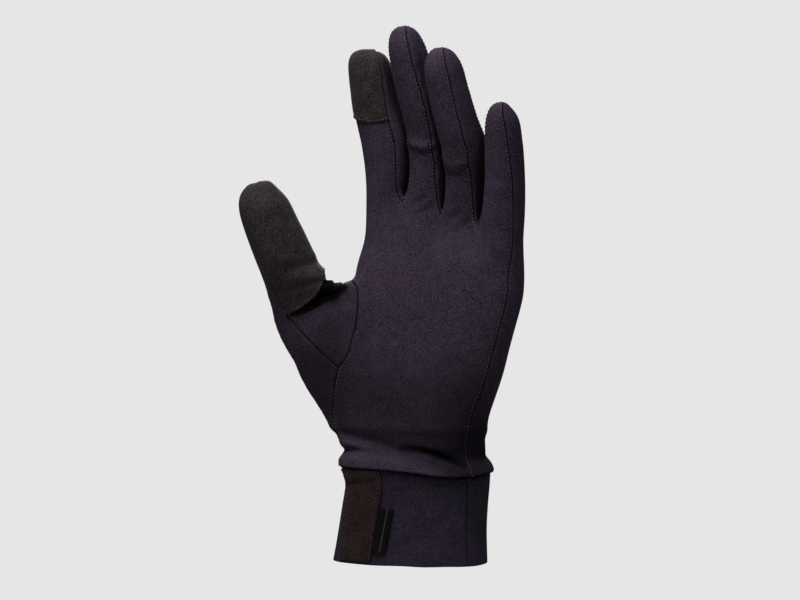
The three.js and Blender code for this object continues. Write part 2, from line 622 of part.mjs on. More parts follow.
/** Adds the palm from the web up to the fingers. Gives back its numbered top ring. */
function addUpperPalm(surface, web, ring) {
  const top = palmTop();
  const start = { front: ring.front, side: ring.side, back: ring.back, radial: [...web].reverse() };
  const curve = (level) => (angle) => outlinePoint(level, angle, false);
  const plain = (level) => ({
    front: spread(curve(level), HALF_TURN - CORNER, PALM_CORNER, PALM_COLUMNS),
    side: spread(curve(level), PALM_CORNER, -PALM_CORNER, SIDE_COLUMNS),
    back: spread(curve(level), -PALM_CORNER, CORNER - HALF_TURN, PALM_COLUMNS),
    radial: spread(curve(level), CORNER - HALF_TURN, -HALF_TURN - CORNER, SIDE_COLUMNS),
  });
  const atWeb = plain(WEB_LEVEL);
  const names = ["front", "side", "back", "radial"];
  let last = start;
  PALM_ROWS.forEach((share) => {
    const lists = names.map((name) => start[name].map((number, i) => {
      const from = surface.points[number];
      const to = top[name][i];
      const z = lerp(from.z, to.z, share);
      const point = plain((z - CUFF_HEIGHT) / PALM_LENGTH)[name][i];
      const web = Math.max(1 - share / PALM_BLEND, 0) ** 2;
      point.addScaledVector(from.clone().sub(atWeb[name][i]), web);
      point.lerp(to, smoothstep(share, VALLEY, 1));
      return point.setZ(z);
    }));
    const [front, side, back, radial] = surface.ring(lists);
    const ringAbove = { front, side, back, radial };
    surface.strip(["palm_panel"], last.front, front);
    surface.strip(["back_panel"], last.side, side);
    surface.strip(["back_panel"], last.back, back);
    surface.strip(["back_panel"], last.radial.slice(0, HALF_SIDE + 1), radial.slice(0, HALF_SIDE + 1));
    surface.strip(["palm_panel"], last.radial.slice(HALF_SIDE), radial.slice(HALF_SIDE));
    last = ringAbove;
  });
  return last;
}

/** Adds one finger on its root ring. pieces names what each of its sides belongs to. */
function addFinger(surface, digit, root, pieces) {
  const names = ["front", "ulnar", "back", "radial"];
  const shifts = names.map((name) => root[name].map((number, i) => {
    return surface.points[number].clone().sub(digitPoint(digit, 0, FINGER_ANGLES[name][i]));
  }));
  let last = names.map((name) => root[name]);
  DIGIT_ROWS.slice(1).forEach((along, row) => {
    const blend = Math.max(1 - along / ROOT_BLEND, 0) ** 2;
    const lists = names.map((name, side) => FINGER_ANGLES[name].map((angle, i) => {
      return digitPoint(digit, along, angle).addScaledVector(shifts[side][i], blend);
    }));
    let ring = null;
    if (along < 1) {
      ring = surface.ring(lists);
    } else {
      const line = surface.row(lists[0]);
      ring = [line, Array(SIDE_COLUMNS + 1).fill(line[FRONT_COLUMNS]), [...line].reverse()];
      ring.push(Array(SIDE_COLUMNS + 1).fill(line[0]));
    }
    const patch = pieces.patch && row >= INDEX_PATCH_ROW ? [pieces.patch] : [];
    surface.strip([pieces.front, ...patch], last[0], ring[0]);
    surface.strip([pieces.ulnar], last[1], ring[1]);
    surface.strip([pieces.back], last[2], ring[2]);
    const half = HALF_SIDE;
    surface.strip([pieces.radialBack], last.at(-1).slice(0, half + 1), ring.at(-1).slice(0, half + 1));
    surface.strip([pieces.radialFront, ...patch], last.at(-1).slice(half), ring.at(-1).slice(half));
    last = ring;
  });
}

/** Adds the four fingers and the side strips between them. */
function addFingers(surface, top) {
  const strips = ["fourchette_index_middle", "fourchette_middle_ring", "fourchette_ring_little"];
  const crotches = strips.map((_, i) => {
    const front = top.front[(i + 1) * FRONT_COLUMNS];
    const back = top.back[(GAPS - i) * FRONT_COLUMNS];
    const inner = FINGER_ANGLES.ulnar.slice(1, -1).map((angle) => {
      const opposite = digitPoint(FINGERS[i + 1], 0, HALF_TURN - angle);
      return digitPoint(FINGERS[i], 0, angle).lerp(opposite, 0.5);
    });
    surface.crotchEnds.push(front, back);
    return [front, ...surface.row(inner), back];
  });
  FINGERS.forEach((digit, i) => {
    const first = i * FRONT_COLUMNS;
    const last = first + FRONT_COLUMNS;
    const root = {
      front: top.front.slice(first, last + 1),
      ulnar: i < GAPS ? crotches[i] : top.side,
      back: top.back.slice(PALM_COLUMNS - last, PALM_COLUMNS - first + 1),
      radial: i > 0 ? [...crotches[i - 1]].reverse() : top.radial,
    };
    addFinger(surface, digit, root, {
      front: "palm_panel",
      back: "back_panel",
      ulnar: i < GAPS ? strips[i] : "back_panel",
      radialFront: i > 0 ? strips[i - 1] : "palm_panel",
      radialBack: i > 0 ? strips[i - 1] : "back_panel",
      patch: i === 0 ? "index_touch_patch" : null,
    });
  });
}

/** Adds the thumb on the ring that the hand and the web leave open. */
function addThumb(surface, web, ring) {
  const names = ["front", "innerFront", "innerBack", "outer"];
  const half = HALF_SIDE;
  let last = [ring.thumb, web.slice(0, half + 1), web.slice(half), ring.outer];
  const shifts = last.map((list, side) => list.map((number, i) => {
    return surface.points[number].clone().sub(digitPoint(THUMB, 0, THUMB_ANGLES[names[side]][i]));
  }));
  THUMB_ROWS.slice(1).forEach((along, row) => {
    const lists = names.map((name, side) => THUMB_ANGLES[name].map((angle, i) => {
      const inner = (1 + Math.cos(degToRad(angle))) / 2;
      const blend = Math.max(1 - along / lerp(MOUND_BLEND, WEB_BLEND, inner), 0) ** 2;
      return digitPoint(THUMB, along, angle).addScaledVector(shifts[side][i], blend);
    }));
    let next = null;
    if (along < 1) {
      next = surface.ring(lists);
    } else {
      const line = surface.row([...lists[0], ...lists[1].slice(1)]);
      const back = [...line].reverse();
      next = [line.slice(0, THUMB_COLUMNS + 1), line.slice(THUMB_COLUMNS)];
      next.push(back.slice(0, half + 1), back.slice(half));
    }
    const from = row === 0 ? THUMB_PATCH_COLUMNS : THUMB_COLUMNS;
    const patched = ["thumb_panel", "thumb_touch_patch"];
    surface.strip(patched, last[0].slice(0, from + 1), next[0].slice(0, from + 1));
    surface.strip(["thumb_panel"], last[0].slice(from), next[0].slice(from));
    surface.strip(row === 0 ? ["thumb_panel"] : patched, last[1], next[1]);
    surface.strip(["back_panel"], last[2], next[2]);
    surface.strip(["back_panel"], last.at(-1), next.at(-1));
    last = next;
  });
}

/** One point on the cuff's outline. */
function cuffPoint(level, angle) {
  const column = (name) => read(CUFF, "level", level, name);
  const { across, forward } = roundedSquare(angle);
  return new THREE.Vector3(
    CUFF_WIDTH * column("across") + (CUFF_WIDTH / 2) * column("wide") * across,
    -(CUFF_DEPTH / 2) * column("deep") * forward,
    level > 0 ? CUFF_HEIGHT * level : -SEAM_GAP / 2,
  );
}

/** The folded cuff with the suede strip and the tab that lie on it. */
function buildCuff() {
  const surface = new Surface();
  const rings = [];
  CUFF_ROWS.forEach((level, row) => {
    const curve = (angle) => cuffPoint(level, angle);
    const near = read(CUFF, "level", level, "near");
    const far = read(CUFF, "level", level, "far");
    const ring = surface.ring([
      spread(curve, far, near, STRIP_COLUMNS),
      spread(curve, near, near - TAB_TURN, TAB_COLUMNS),
      spread(curve, near - TAB_TURN, CORNER, CUFF_COLUMNS.front),
      spread(curve, CORNER, -CORNER, CUFF_COLUMNS.side),
      spread(curve, -CORNER, CORNER - HALF_TURN, CUFF_COLUMNS.back),
      spread(curve, CORNER - HALF_TURN, far - FULL_TURN, CUFF_COLUMNS.side),
    ]);
    const last = rings[rings.length - 1];
    if (last) {
      const onStrip = row > STRIP_ROWS.first && row <= STRIP_ROWS.last;
      const onTab = row > TAB_ROWS.first && row <= TAB_ROWS.last;
      const names = ["cuff_band"];
      surface.strip(onStrip ? [...names, "cuff_grip_strip"] : names, last[0], ring[0]);
      surface.strip(onTab ? [...names, "cuff_tab"] : names, last[1], ring[1]);
      ring.slice(2).forEach((list, i) => surface.strip(names, last[i + 2], list));
    }
    rings.push(ring);
  });
  surface.settle(["cuff_band"]);
  surface.square([...rings[0], ...rings[rings.length - 1]].flatMap((list) => list.slice(1)));
  return [
    ["cuff_band", surface.wall("cuff_band", -CUFF_CLOTH, 0)],
    ["cuff_grip_strip", surface.wall("cuff_grip_strip", SEAM_GAP, SEAM_GAP + PATCH_CLOTH)],
    ["cuff_tab", surface.wall("cuff_tab", SEAM_GAP, SEAM_GAP + TAB_CLOTH)],
  ];
}

/** The hand with its patches. */
function buildHand() {
  const surface = new Surface();
  const ring = addLowerHand(surface);
  const web = addWeb(surface, ring);
  addThumb(surface, web, ring);
  addFingers(surface, addUpperPalm(surface, web, ring));
  const patches = ["index_touch_patch", "thumb_touch_patch"];
  const panels = [...surface.pieces.keys()].filter((name) => !patches.includes(name));
  surface.settle(panels);
  surface.square(surface.points.map((_, i) => i).filter((i) => surface.points[i].z === CUFF_HEIGHT));
  return [
    ...panels.map((name) => [name, surface.wall(name, -CLOTH, 0)]),
    ...patches.map((name) => [name, surface.wall(name, SEAM_GAP, SEAM_GAP + PATCH_CLOTH)]),
  ];
}

/** The whole glove liner, one mesh to a piece. */
function build() {
  const group = new THREE.Group();
  group.name = "glove_liner";
  const suede = ["index_touch_patch", "thumb_touch_patch", "cuff_grip_strip"];
  [...buildCuff(), ...buildHand()].forEach(([name, geometry]) => {
    const material = new THREE.MeshStandardMaterial({
      color: COLOURS[name],
      roughness: suede.includes(name) ? SUEDE_ROUGHNESS : KNIT_ROUGHNESS,
      metalness: 0,
    });
    material.name = name;
    const mesh = new THREE.Mesh(geometry, material);
    mesh.name = name;
    group.add(mesh);
  });
  return group;
}

export default build();
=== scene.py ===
"""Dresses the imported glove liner: brushed fleece knit, suede patches, sewn seams and a pale studio.

The frame's panels are sewn into one skin, smoothed, folded and cut apart again along their seams.
Lengths are in metres in the frame of the part: +Z towards the fingertips, -Y out of the palm and +X
from the thumb towards the little finger.
"""

import logging
import math
from dataclasses import dataclass, field
from enum import Enum

import bmesh
import bpy
from bmesh.types import BMEdge, BMesh, BMFace, BMLayerItem, BMVert
from mathutils import Matrix, Vector, kdtree, noise
from mathutils.bvhtree import BVHTree


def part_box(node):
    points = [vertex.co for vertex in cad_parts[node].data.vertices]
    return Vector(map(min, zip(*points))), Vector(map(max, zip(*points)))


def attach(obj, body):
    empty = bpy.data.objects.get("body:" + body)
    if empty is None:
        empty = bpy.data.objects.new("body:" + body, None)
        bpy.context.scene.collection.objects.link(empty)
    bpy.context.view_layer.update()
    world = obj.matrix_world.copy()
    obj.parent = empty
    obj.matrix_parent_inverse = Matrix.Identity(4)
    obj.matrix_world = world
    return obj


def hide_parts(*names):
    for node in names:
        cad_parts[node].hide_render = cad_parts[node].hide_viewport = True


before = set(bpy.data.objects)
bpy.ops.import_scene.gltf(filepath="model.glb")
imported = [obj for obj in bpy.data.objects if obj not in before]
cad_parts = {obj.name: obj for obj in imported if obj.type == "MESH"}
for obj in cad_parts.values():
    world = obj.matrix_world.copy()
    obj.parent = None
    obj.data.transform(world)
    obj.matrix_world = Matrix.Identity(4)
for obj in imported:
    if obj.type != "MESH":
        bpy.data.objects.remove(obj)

Socket = bpy.types.NodeSocket
Drawing = tuple[list[tuple[str, Socket]], Socket]
LOG = logging.getLogger("glove_liner")
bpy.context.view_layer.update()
MM = 0.001
BODY = "root"
SHADE = "shade"  # the attribute of painted shade, which tells how much a cloth darkens

# The viewer's eye is in front of the palm and a little to the side of the little finger. Folds and
# edges are placed as it sees them, on the upright plane through the origin that faces it.
VIEW_TURN = math.radians(20)
VIEW_RIGHT = Vector((math.cos(VIEW_TURN), math.sin(VIEW_TURN), 0))
TO_VIEWER = Vector((math.sin(VIEW_TURN), -math.cos(VIEW_TURN), 0))
AIM = VIEW_RIGHT * -3.7 * MM + Vector((0, 0, 120 * MM))
EYE = AIM + TO_VIEWER * 1.073


class Panel(Enum):
    """The knitted panels that are sewn together to make the hand."""

    PALM = "palm_panel"
    BACK = "back_panel"
    THUMB = "thumb_panel"
    INDEX_MIDDLE = "fourchette_index_middle"
    MIDDLE_RING = "fourchette_middle_ring"
    RING_LITTLE = "fourchette_ring_little"


def linear(code: str) -> tuple[float, float, float, float]:
    """Turns an sRGB hex colour into the linear colour that a shader reads.

    Args:
        code: Six hex digits.

    Returns:
        Red, green, blue and an alpha of one.
    """
    parts = [int(code[i : i + 2], 16) / 255 for i in (0, 2, 4)]
    return (*[p / 12.92 if p <= 0.04045 else ((p + 0.055) / 1.055) ** 2.4 for p in parts], 1.0)


def add_node(
    tree: bpy.types.NodeTree, kind: str, inputs: dict | None = None, output: int | str = 0, **settings: str
) -> Socket:
    """Adds a shader node with its settings, and sets or links its inputs.

    Args:
        tree: The node tree.
        kind: The node's type name.
        inputs: Values, or output sockets to link, by input name or number.
        output: The name or number of the output that is used.
        **settings: Attributes of the node.

    Returns:
        The output's socket.
    """
    node = tree.nodes.new(kind)
    for name, value in settings.items():
        setattr(node, name, value)
    for name, value in (inputs or {}).items():
        if isinstance(value, Socket):
            tree.links.new(value, node.inputs[name])
        else:
            node.inputs[name].default_value = value
    return node.outputs[output]


def view_place(point: Vector) -> Vector:
    """Where the eye sees a point.

    Args:
        point: The point.

    Returns:
        How far to the right of the origin it is seen, and how far above it.
    """
    ray = point - EYE
    seen = EYE - ray * (EYE.dot(TO_VIEWER) / ray.dot(TO_VIEWER))
    return Vector((seen.dot(VIEW_RIGHT), seen.z))


def plane_point(place: Vector) -> Vector:
    """The point in space on the plane that view_place measures on."""
    return VIEW_RIGHT * place.x + Vector((0, 0, place.y))


def smooth_step(value: float) -> float:
    """Rises smoothly from 0 to 1 as value goes from 0 to 1."""
    share = min(max(value, 0.0), 1.0)
    return share * share * (3 - 2 * share)


# Finishes


@dataclass(frozen=True)
class Finish:
    """A cloth or thread whose colour and relief follow a pattern on Object coordinates."""

    name: str
    ground: str
    fleck: str
    roughness: float = 0.9
    specular: float = 0.5
    sheen: float = 0.0
    sheen_roughness: float = 0.5
    sheen_tint: str = "ffffff"
    relief: float = 0.1 * MM
    bump: float = 0.85

    def draw(self, tree: bpy.types.NodeTree, place: Socket) -> Drawing:
        """Draws the pattern: the colours over the ground, each with its share, and the height."""
        raise NotImplementedError

    def material(self) -> bpy.types.Material:
        """Makes the material.

        Returns:
            The material.
        """
        material = bpy.data.materials.new(self.name)
        material.use_nodes = True
        tree = material.node_tree
        layers, height = self.draw(tree, add_node(tree, "ShaderNodeTexCoord", output="Object"))
        colour = linear(self.ground)
        for code, share in layers:
            inputs = {"Factor": share, 6: colour, 7: linear(code)}
            colour = add_node(tree, "ShaderNodeMix", inputs, 2, data_type="RGBA")
        inputs = {"Height": height, "Distance": self.relief, "Strength": self.bump}
        normal = add_node(tree, "ShaderNodeBump", inputs)
        surface = tree.nodes["Principled BSDF"]
        tree.links.new(colour, surface.inputs["Base Color"])
        tree.links.new(normal, surface.inputs["Normal"])
        surface.inputs["Roughness"].default_value = self.roughness
        surface.inputs["Specular IOR Level"].default_value = self.specular
        surface.inputs["Sheen Weight"].default_value = self.sheen
        surface.inputs["Sheen Roughness"].default_value = self.sheen_roughness
        surface.inputs["Sheen Tint"].default_value = linear(self.sheen_tint)
        return material


@dataclass(frozen=True)
class NappedCloth(Finish):
    """A matt cloth with a short nap, mixed towards painted shade by the shade attribute."""

    # The colour of painted shade, in seams, folds, gaps and under the hem.
    painted_shade_colour: str = "070608"
    grain: float = 0.42 * MM
    fineness: float = 2.0  # how many finer grains lie on the nap's
    strength: float = 0.7  # how strong these are
    nap_length: float = 1.0  # how many times longer than wide the nap's grains are
    clouds: tuple[tuple[float, float, float], ...] = ()  # slow unevenness: size, fineness and share
    low: float = 0.47  # the nap's value that shows the ground alone
    high: float = 0.76  # and the one that shows the fleck alone

    def draw(self, tree: bpy.types.NodeTree, place: Socket) -> Drawing:
        """Draws the nap.

        Args:
            tree: The material's nodes.
            place: Where a point lies.

        Returns:
            The colours over the ground, each with its share, and the height.
        """
        inputs = {"Vector": place, "Scale": (1.0, 1.0, 1 / self.nap_length)}
        inputs = {"Vector": add_node(tree, "ShaderNodeMapping", inputs), "Scale": 1 / self.grain}
        inputs |= {"Detail": self.fineness, "Roughness": self.strength}
        nap = uneven = add_node(tree, "ShaderNodeTexNoise", inputs)
        for size, fineness, share in self.clouds:
            inputs = {"Vector": place, "Scale": 1 / size, "Detail": fineness}
            inputs = {0: add_node(tree, "ShaderNodeTexNoise", inputs), 1: share, 2: uneven}
            uneven = add_node(tree, "ShaderNodeMath", inputs, operation="MULTIPLY_ADD")
        inputs = {"Value": uneven, "From Min": self.low, "From Max": self.high}
        share = add_node(tree, "ShaderNodeMapRange", inputs)
        # The shade attribute mixes in the colour of painted shade.
        attribute = {"attribute_type": "GEOMETRY", "attribute_name": SHADE}
        shade = add_node(tree, "ShaderNodeAttribute", {}, "Fac", **attribute)
        return [(self.fleck, share), (self.painted_shade_colour, shade)], nap


@dataclass(frozen=True)
class FleeceKnit(NappedCloth):
    """Brushed polyester fleece knit.

    It gives the eye a matt, soft, dark cloth: a heathered grain of lighter and darker fibre ends, drawn
    twice as coarse as real ones so that they show, faint clouds where the nap lies differently, and
    shade painted nearly black in seams and folds.
    """

    roughness: float = 0.95
    specular: float = 0.05
    sheen: float = 0.03
    sheen_roughness: float = 0.6
    sheen_tint: str = "6d6474"
    relief: float = 0.13 * MM
    clouds: tuple[tuple[float, float, float], ...] = ((4.5 * MM, 3.0, 0.12), (26 * MM, 2.0, 0.12))


@dataclass(frozen=True)
class Suede(NappedCloth):
    """Split microfibre suede.

    It gives the eye a short nap that is brushed one way, so that its grain is long, drawn coarser than
    the real one so that it shows, with rubbed lighter spots and a dull face blacker than the knit.
    """

    roughness: float = 0.88
    specular: float = 0.08
    sheen: float = 0.03
    relief: float = 0.15 * MM
    # The colour of painted shade on the suede.
    painted_shade_colour: str = "050405"
    grain: float = 0.5 * MM
    fineness: float = 3.0
    nap_length: float = 1.8
    clouds: tuple[tuple[float, float, float], ...] = ((6 * MM, 4.0, 0.25),)
    high: float = 0.8


@dataclass(frozen=True)
class Thread(Finish):
    """Spun polyester sewing thread.

    It gives the eye two plies twisted together, as fine lighter and darker bands with a slight shine.
    """

    roughness: float = 0.6
    sheen: float = 0.1
    relief: float = 0.05 * MM
    twist: float = 0.45 * MM

    def draw(self, tree: bpy.types.NodeTree, place: Socket) -> Drawing:
        """Draws the plies.

        Args:
            tree: The material's nodes.
            place: Where a point lies.

        Returns:
            The colours over the ground, each with its share, and the height.
        """
        inputs = {"Vector": place, "Scale": 1 / self.twist, "Detail": 1.0}
        plies = add_node(tree, "ShaderNodeTexNoise", inputs)
        return [(self.fleck, plies)], plies


@dataclass(frozen=True)
class WovenRibbon(Finish):
    """Woven satin ribbon.

    It gives the eye a black, slightly shiny band with fine weft ribs, drawn about twice as coarse as
    real ones, and one thin lighter warp line beside its edge.
    """

    roughness: float = 0.7
    specular: float = 0.1
    relief: float = 0.06 * MM
    warp: str = "3c3c3e"
    pitch: float = 0.6 * MM
    waver: float = 0.6  # unevenness of the ribs
    line_top: tuple[float, float] = (-9.0 * MM, 27.5 * MM)  # as the viewer sees it
    line_end: tuple[float, float] = (-12.8 * MM, 7.7 * MM)
    line_width: float = 0.2 * MM

    def draw(self, tree: bpy.types.NodeTree, place: Socket) -> Drawing:
        """Draws ribs across the ribbon's length, and the line along it.

        Args:
            tree: The material's nodes.
            place: Where a point lies.

        Returns:
            The colours over the ground, each with its share, and the height.
        """
        # A wave texture repeats every tau / 20 of its scale's inverse.
        inputs = {"Vector": place, "Scale": math.tau / 20 / self.pitch, "Distortion": self.waver}
        bands = {"wave_type": "BANDS", "bands_direction": "Z"}
        ribs = add_node(tree, "ShaderNodeTexWave", inputs, "Fac", **bands)
        top, end = plane_point(Vector(self.line_top)), plane_point(Vector(self.line_end))
        across = (end - top).normalized().cross(TO_VIEWER)
        inputs = {0: place, 1: across}
        side = add_node(tree, "ShaderNodeVectorMath", inputs, "Value", operation="DOT_PRODUCT")
        inputs = {0: side, 1: top.dot(across), 2: self.line_width}
        on_line = add_node(tree, "ShaderNodeMath", inputs, operation="COMPARE")
        return [(self.fleck, ribs), (self.warp, on_line)], ribs


# Folds


@dataclass(frozen=True)
class Fold:
    """A valley in the cloth through three places, with a swelling beside it.

    A place is given in millimetres: how far to the right of the origin and above it the eye sees it,
    how deep the valley is there, and half its width.
    """

    start: tuple[float, float, float, float]
    bend: tuple[float, float, float, float]
    end: tuple[float, float, float, float]
    ridge: float = 0.0  # the swelling's share of the depth, above the valley, or below it where negative
    wrap: float = 0.0  # lets the fold run on over the edge that the viewer sees
    shade: float = 0.0  # painted shade in the valley; a negative value paints it lighter
    ridge_place: float = 1.8  # from the valley to the swelling, in half widths
    reach: float = 4.0  # the fold shows within so many half widths of its line
    spans: int = 32

    def line(self) -> list[Vector]:
        """Draws the fold.

        Returns:
            Points along it in metres, each with its depth and half width.
        """
        a, b, c = (Vector(place) * MM for place in (self.start, self.bend, self.end))
        control = b * 2 - (a + c) / 2
        shares = [number / self.spans for number in range(self.spans + 1)]
        return [a * (1 - t) ** 2 + control * 2 * t * (1 - t) + c * t**2 for t in shares]

    def effect(self, place: Vector, line: list[Vector]) -> tuple[float, float]:
        """What the fold does at a place.

        Args:
            place: The place.
            line: The fold's line.

        Returns:
            How far it lifts the cloth, which is negative in the valley, and the shade that it paints.
        """
        near = min(range(len(line)), key=lambda number: (line[number].xy - place).length_squared)
        depth, width = line[near][2], line[near][3]
        gap = place - line[near].xy
        along = (line[min(near + 1, len(line) - 1)].xy - line[max(near - 1, 0)].xy).normalized()
        side = (along.x * gap.y - along.y * gap.x) / width
        past = gap.dot(along) / width
        swell = math.exp(-((side - math.copysign(self.ridge_place, self.ridge)) ** 2)) * abs(self.ridge)
        valley = math.exp(-(side**2) - past**2)
        return depth * (swell * math.exp(-(past**2)) - valley), self.shade * valley


class Side(Enum):
    """A side of the glove as the eye sees it: how far it faces right, and how far up."""

    LEFT = (-1, 0)
    RIGHT = (1, 0)
    TOP = (0, 1)


@dataclass(frozen=True)
class Nudge:
    """Moves one side of the cloth outwards round a place, in millimetres as the eye sees it."""

    side: Side
    right: float
    up: float
    across: float  # how far it reaches to the left and right
    along: float  # how far it reaches up and down
    shift: float  # outwards, or inwards where negative
    spread: float = 0.4  # how far round the side's edge it reaches

    def move(self, vert: BMVert) -> Vector:
        """How far a point of the cloth moves.

        Args:
            vert: The point.

        Returns:
            The move.
        """
        outwards = plane_point(Vector(self.side.value))
        place = view_place(vert.co) / MM
        far = ((place.x - self.right) / self.across) ** 2 + ((place.y - self.up) / self.along) ** 2
        facing = smooth_step(self.spread + vert.normal.dot(outwards))
        return outwards * self.shift * MM * facing * math.exp(-far)


NUDGES = [
    # The side of the index finger closes on the middle finger, and the ring finger's on the little one.
    Nudge(Side.RIGHT, -4.0, 195.0, 5.0, 13.0, 2.6),
    Nudge(Side.RIGHT, -2.0, 178.0, 4.0, 8.0, 1.2),
    Nudge(Side.LEFT, -20.5, 176.0, 6.0, 26.0, -1.0),
    Nudge(Side.RIGHT, 34.0, 193.5, 4.0, 8.0, 1.4),
    Nudge(Side.RIGHT, 46.0, 208.5, 4.5, 5.0, -1.5),
    # The thumb: its tip narrows, its patch stands out over the web and its mound is full.
    Nudge(Side.RIGHT, -59.8, 172.4, 5.0, 5.0, -1.8),
    Nudge(Side.RIGHT, -40.0, 134.0, 6.0, 6.0, 0.8),
    Nudge(Side.TOP, -33.6, 131.0, 8.0, 6.0, -2.6),
    Nudge(Side.LEFT, -60.0, 108.5, 6.0, 12.0, 1.3),
    Nudge(Side.LEFT, -46.0, 79.0, 8.0, 12.0, 1.7),
]
# Each fold's start, bend and end, then its ridge, wrap and painted shade.
HAND_FOLDS = [
    # Where the middle and ring fingers bend.
    Fold((0.2, 194.7, 0.2, 1.4), (7.0, 193.7, 0.5, 1.4), (13.2, 194.7, 0.2, 1.4), -0.5),
    Fold((0.4, 190.1, 0.4, 0.9), (6.4, 187.7, 1.3, 1.0), (12.4, 189.1, 0.5, 0.9), 0.5),
    Fold((15.0, 185.3, 0.2, 1.4), (20.5, 184.5, 0.5, 1.4), (26.2, 185.3, 0.2, 1.4), -0.5),
    Fold((16.6, 179.1, 0.4, 0.9), (21.4, 178.3, 1.3, 1.0), (27.6, 181.5, 0.5, 0.9), 0.5),
    # Small drags below the crotches.
    Fold((1.0, 163.3, 0.1, 1.3), (5.4, 165.3, 0.6, 1.2), (9.4, 167.1, 0.1, 1.2), 0.5),
    Fold((3.2, 158.9, 0.1, 1.5), (8.5, 161.3, 0.5, 1.5), (13.2, 164.5, 0.1, 1.5), 0.5),
    Fold((17.4, 156.9, 0.1, 1.3), (21.2, 158.7, 0.6, 1.2), (24.8, 161.5, 0.1, 1.2), 0.5),
    Fold((20.4, 150.9, 0.1, 1.5), (25.2, 154.1, 0.5, 1.5), (30.0, 158.3, 0.1, 1.5), 0.5),
    # The recess beside the thumb patch, deepest in the web, painted black as shade.
    Fold((-53.0, 113.3, 0.8, 0.8), (-41.6, 119.9, 3.0, 2.1), (-34.6, 128.6, 3.6, 4.0), 0.0, 1.0, 3.2),
    # A painted highlight along a low ridge inside the recess.
    Fold((-53.5, 112.4, -0.2, 0.5), (-43.0, 118.2, -1.0, 0.6), (-34.4, 122.8, -0.8, 0.6), 0.0, 0.0, -0.4),
    # The wrist, where the heel of the hand sinks over the cuff, with shade painted in the valleys.
    Fold((-3.0, 51.8, 0.2, 1.6), (12.6, 48.6, 1.7, 1.4), (26.0, 43.8, 1.3, 1.2), -0.6, 0.0, 0.3),
    Fold((-24.0, 56.4, 0.2, 1.7), (-17.0, 55.4, 0.4, 1.7), (-8.0, 53.6, 0.2, 1.7), 0.4, 0.2, 0.05),
    Fold((-29.0, 51.6, 0.6, 1.2), (-21.0, 51.0, 0.9, 1.2), (-10.0, 49.0, 0.2, 1.2), 0.5, 0.4, 0.2),
]
THUMB_PATCH_FOLDS = [
    Fold((-66.0, 133.9, 0.3, 1.8), (-51.0, 135.1, 0.8, 2.2), (-37.0, 138.3, 0.7, 1.8), 0.5, 0.3),
    Fold((-60.0, 124.1, 0.3, 1.4), (-50.0, 126.7, 0.7, 1.7), (-38.0, 129.1, 0.5, 1.5), 0.6, 0.3),
]
CUFF_FOLDS = [
    Fold((-32.0, 36.3, 1.0, 1.3), (-24.0, 35.7, 0.8, 1.3), (-14.0, 36.9, 0.2, 1.3), 0.3, 0.6),
    Fold((-2.0, 35.1, 0.1, 2.4), (10.0, 34.5, 0.4, 2.6), (26.0, 36.1, 0.1, 2.4), 0.4),
    Fold((-8.0, 2.1, 0.1, 2.4), (8.0, 12.1, 0.35, 3.2), (22.0, 24.1, 0.1, 2.8), 0.5),
]


FOLD_GAIN = 1.6  # how quickly a fold grows as the cloth turns to the viewer


def fold_cloth(cloth: BMesh, folds: list[Fold]) -> None:
    """Moves the points of a cloth that face the viewer by the folds that cross them, and paints shade.

    Args:
        cloth: The cloth.
        folds: The folds.
    """
    cloth.normal_update()
    layer = shade_layer(cloth)
    for fold in folds:
        line = fold.line()
        reach = fold.reach * max(point[3] for point in line)
        low = Vector((min(p.x for p in line) - reach, min(p.y for p in line) - reach))
        high = Vector((max(p.x for p in line) + reach, max(p.y for p in line) + reach))
        for vert in cloth.verts:
            facing = smooth_step((vert.normal.dot(TO_VIEWER) + fold.wrap) * FOLD_GAIN)
            place = view_place(vert.co)
            if facing > 0 and low.x < place.x < high.x and low.y < place.y < high.y:
                lift, shade = fold.effect(place, line)
                vert.co += vert.normal * lift * facing
                # Paints shade in the valley; a negative shade paints it lighter.
                vert[layer] = min(max(vert[layer] + shade * facing, 0.0), 1.0)


# Meshes


def add_object(name: str, data: bpy.types.ID) -> bpy.types.Object:
    """Adds an object to the scene.

    Args:
        name: Its name.
        data: Its mesh, light or camera.

    Returns:
        The object.
    """
    made = bpy.data.objects.new(name, data)
    bpy.context.scene.collection.objects.link(made)
    return made


def new_piece(
    name: str, cloth: BMesh, material: bpy.types.Material, nodes: list[str]
) -> bpy.types.Object:
    """Turns a finished bmesh into a piece of the glove.

    Args:
        name: The piece's name.
        cloth: The mesh, which is freed.
        material: Its material.
        nodes: The frame's nodes that it stands for.

    Returns:
        The object.
    """
    mesh = bpy.data.meshes.new(name)
    for face in cloth.faces:
        face.material_index = 0
        face.smooth = True
    cloth.to_mesh(mesh)
    cloth.free()
    mesh.materials.append(material)
    piece = add_object(name, mesh)
    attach(piece, BODY)
    if nodes:
        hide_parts(*nodes)
    LOG.info("%s: %d faces", name, len(mesh.polygons))
    return piece


def node_wall(name: str) -> BMesh:
    """A copy of a frame node with its points merged.

    Args:
        name: The node's name.

    Returns:
        The copy.
    """
    cloth = bmesh.new()
    cloth.from_mesh(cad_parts[name].data)
    bmesh.ops.remove_doubles(cloth, verts=cloth.verts, dist=0.02 * MM)
    return cloth


def shade_layer(cloth: BMesh) -> BMLayerItem:
    """The layer of painted shade, which tells how much the cloth darkens at each point."""
    return cloth.verts.layers.float.get(SHADE) or cloth.verts.layers.float.new(SHADE)


def pair_triangles(cloth: BMesh) -> None:
    """Joins pairs of triangles of one panel into quads, where they bend and skew little.

    Args:
        cloth: The mesh.
    """
    bend, skew = math.radians(50), math.radians(120)
    limits = {"angle_face_threshold": bend, "angle_shape_threshold": skew}
    bmesh.ops.join_triangles(cloth, faces=cloth.faces, cmp_materials=True, **limits)


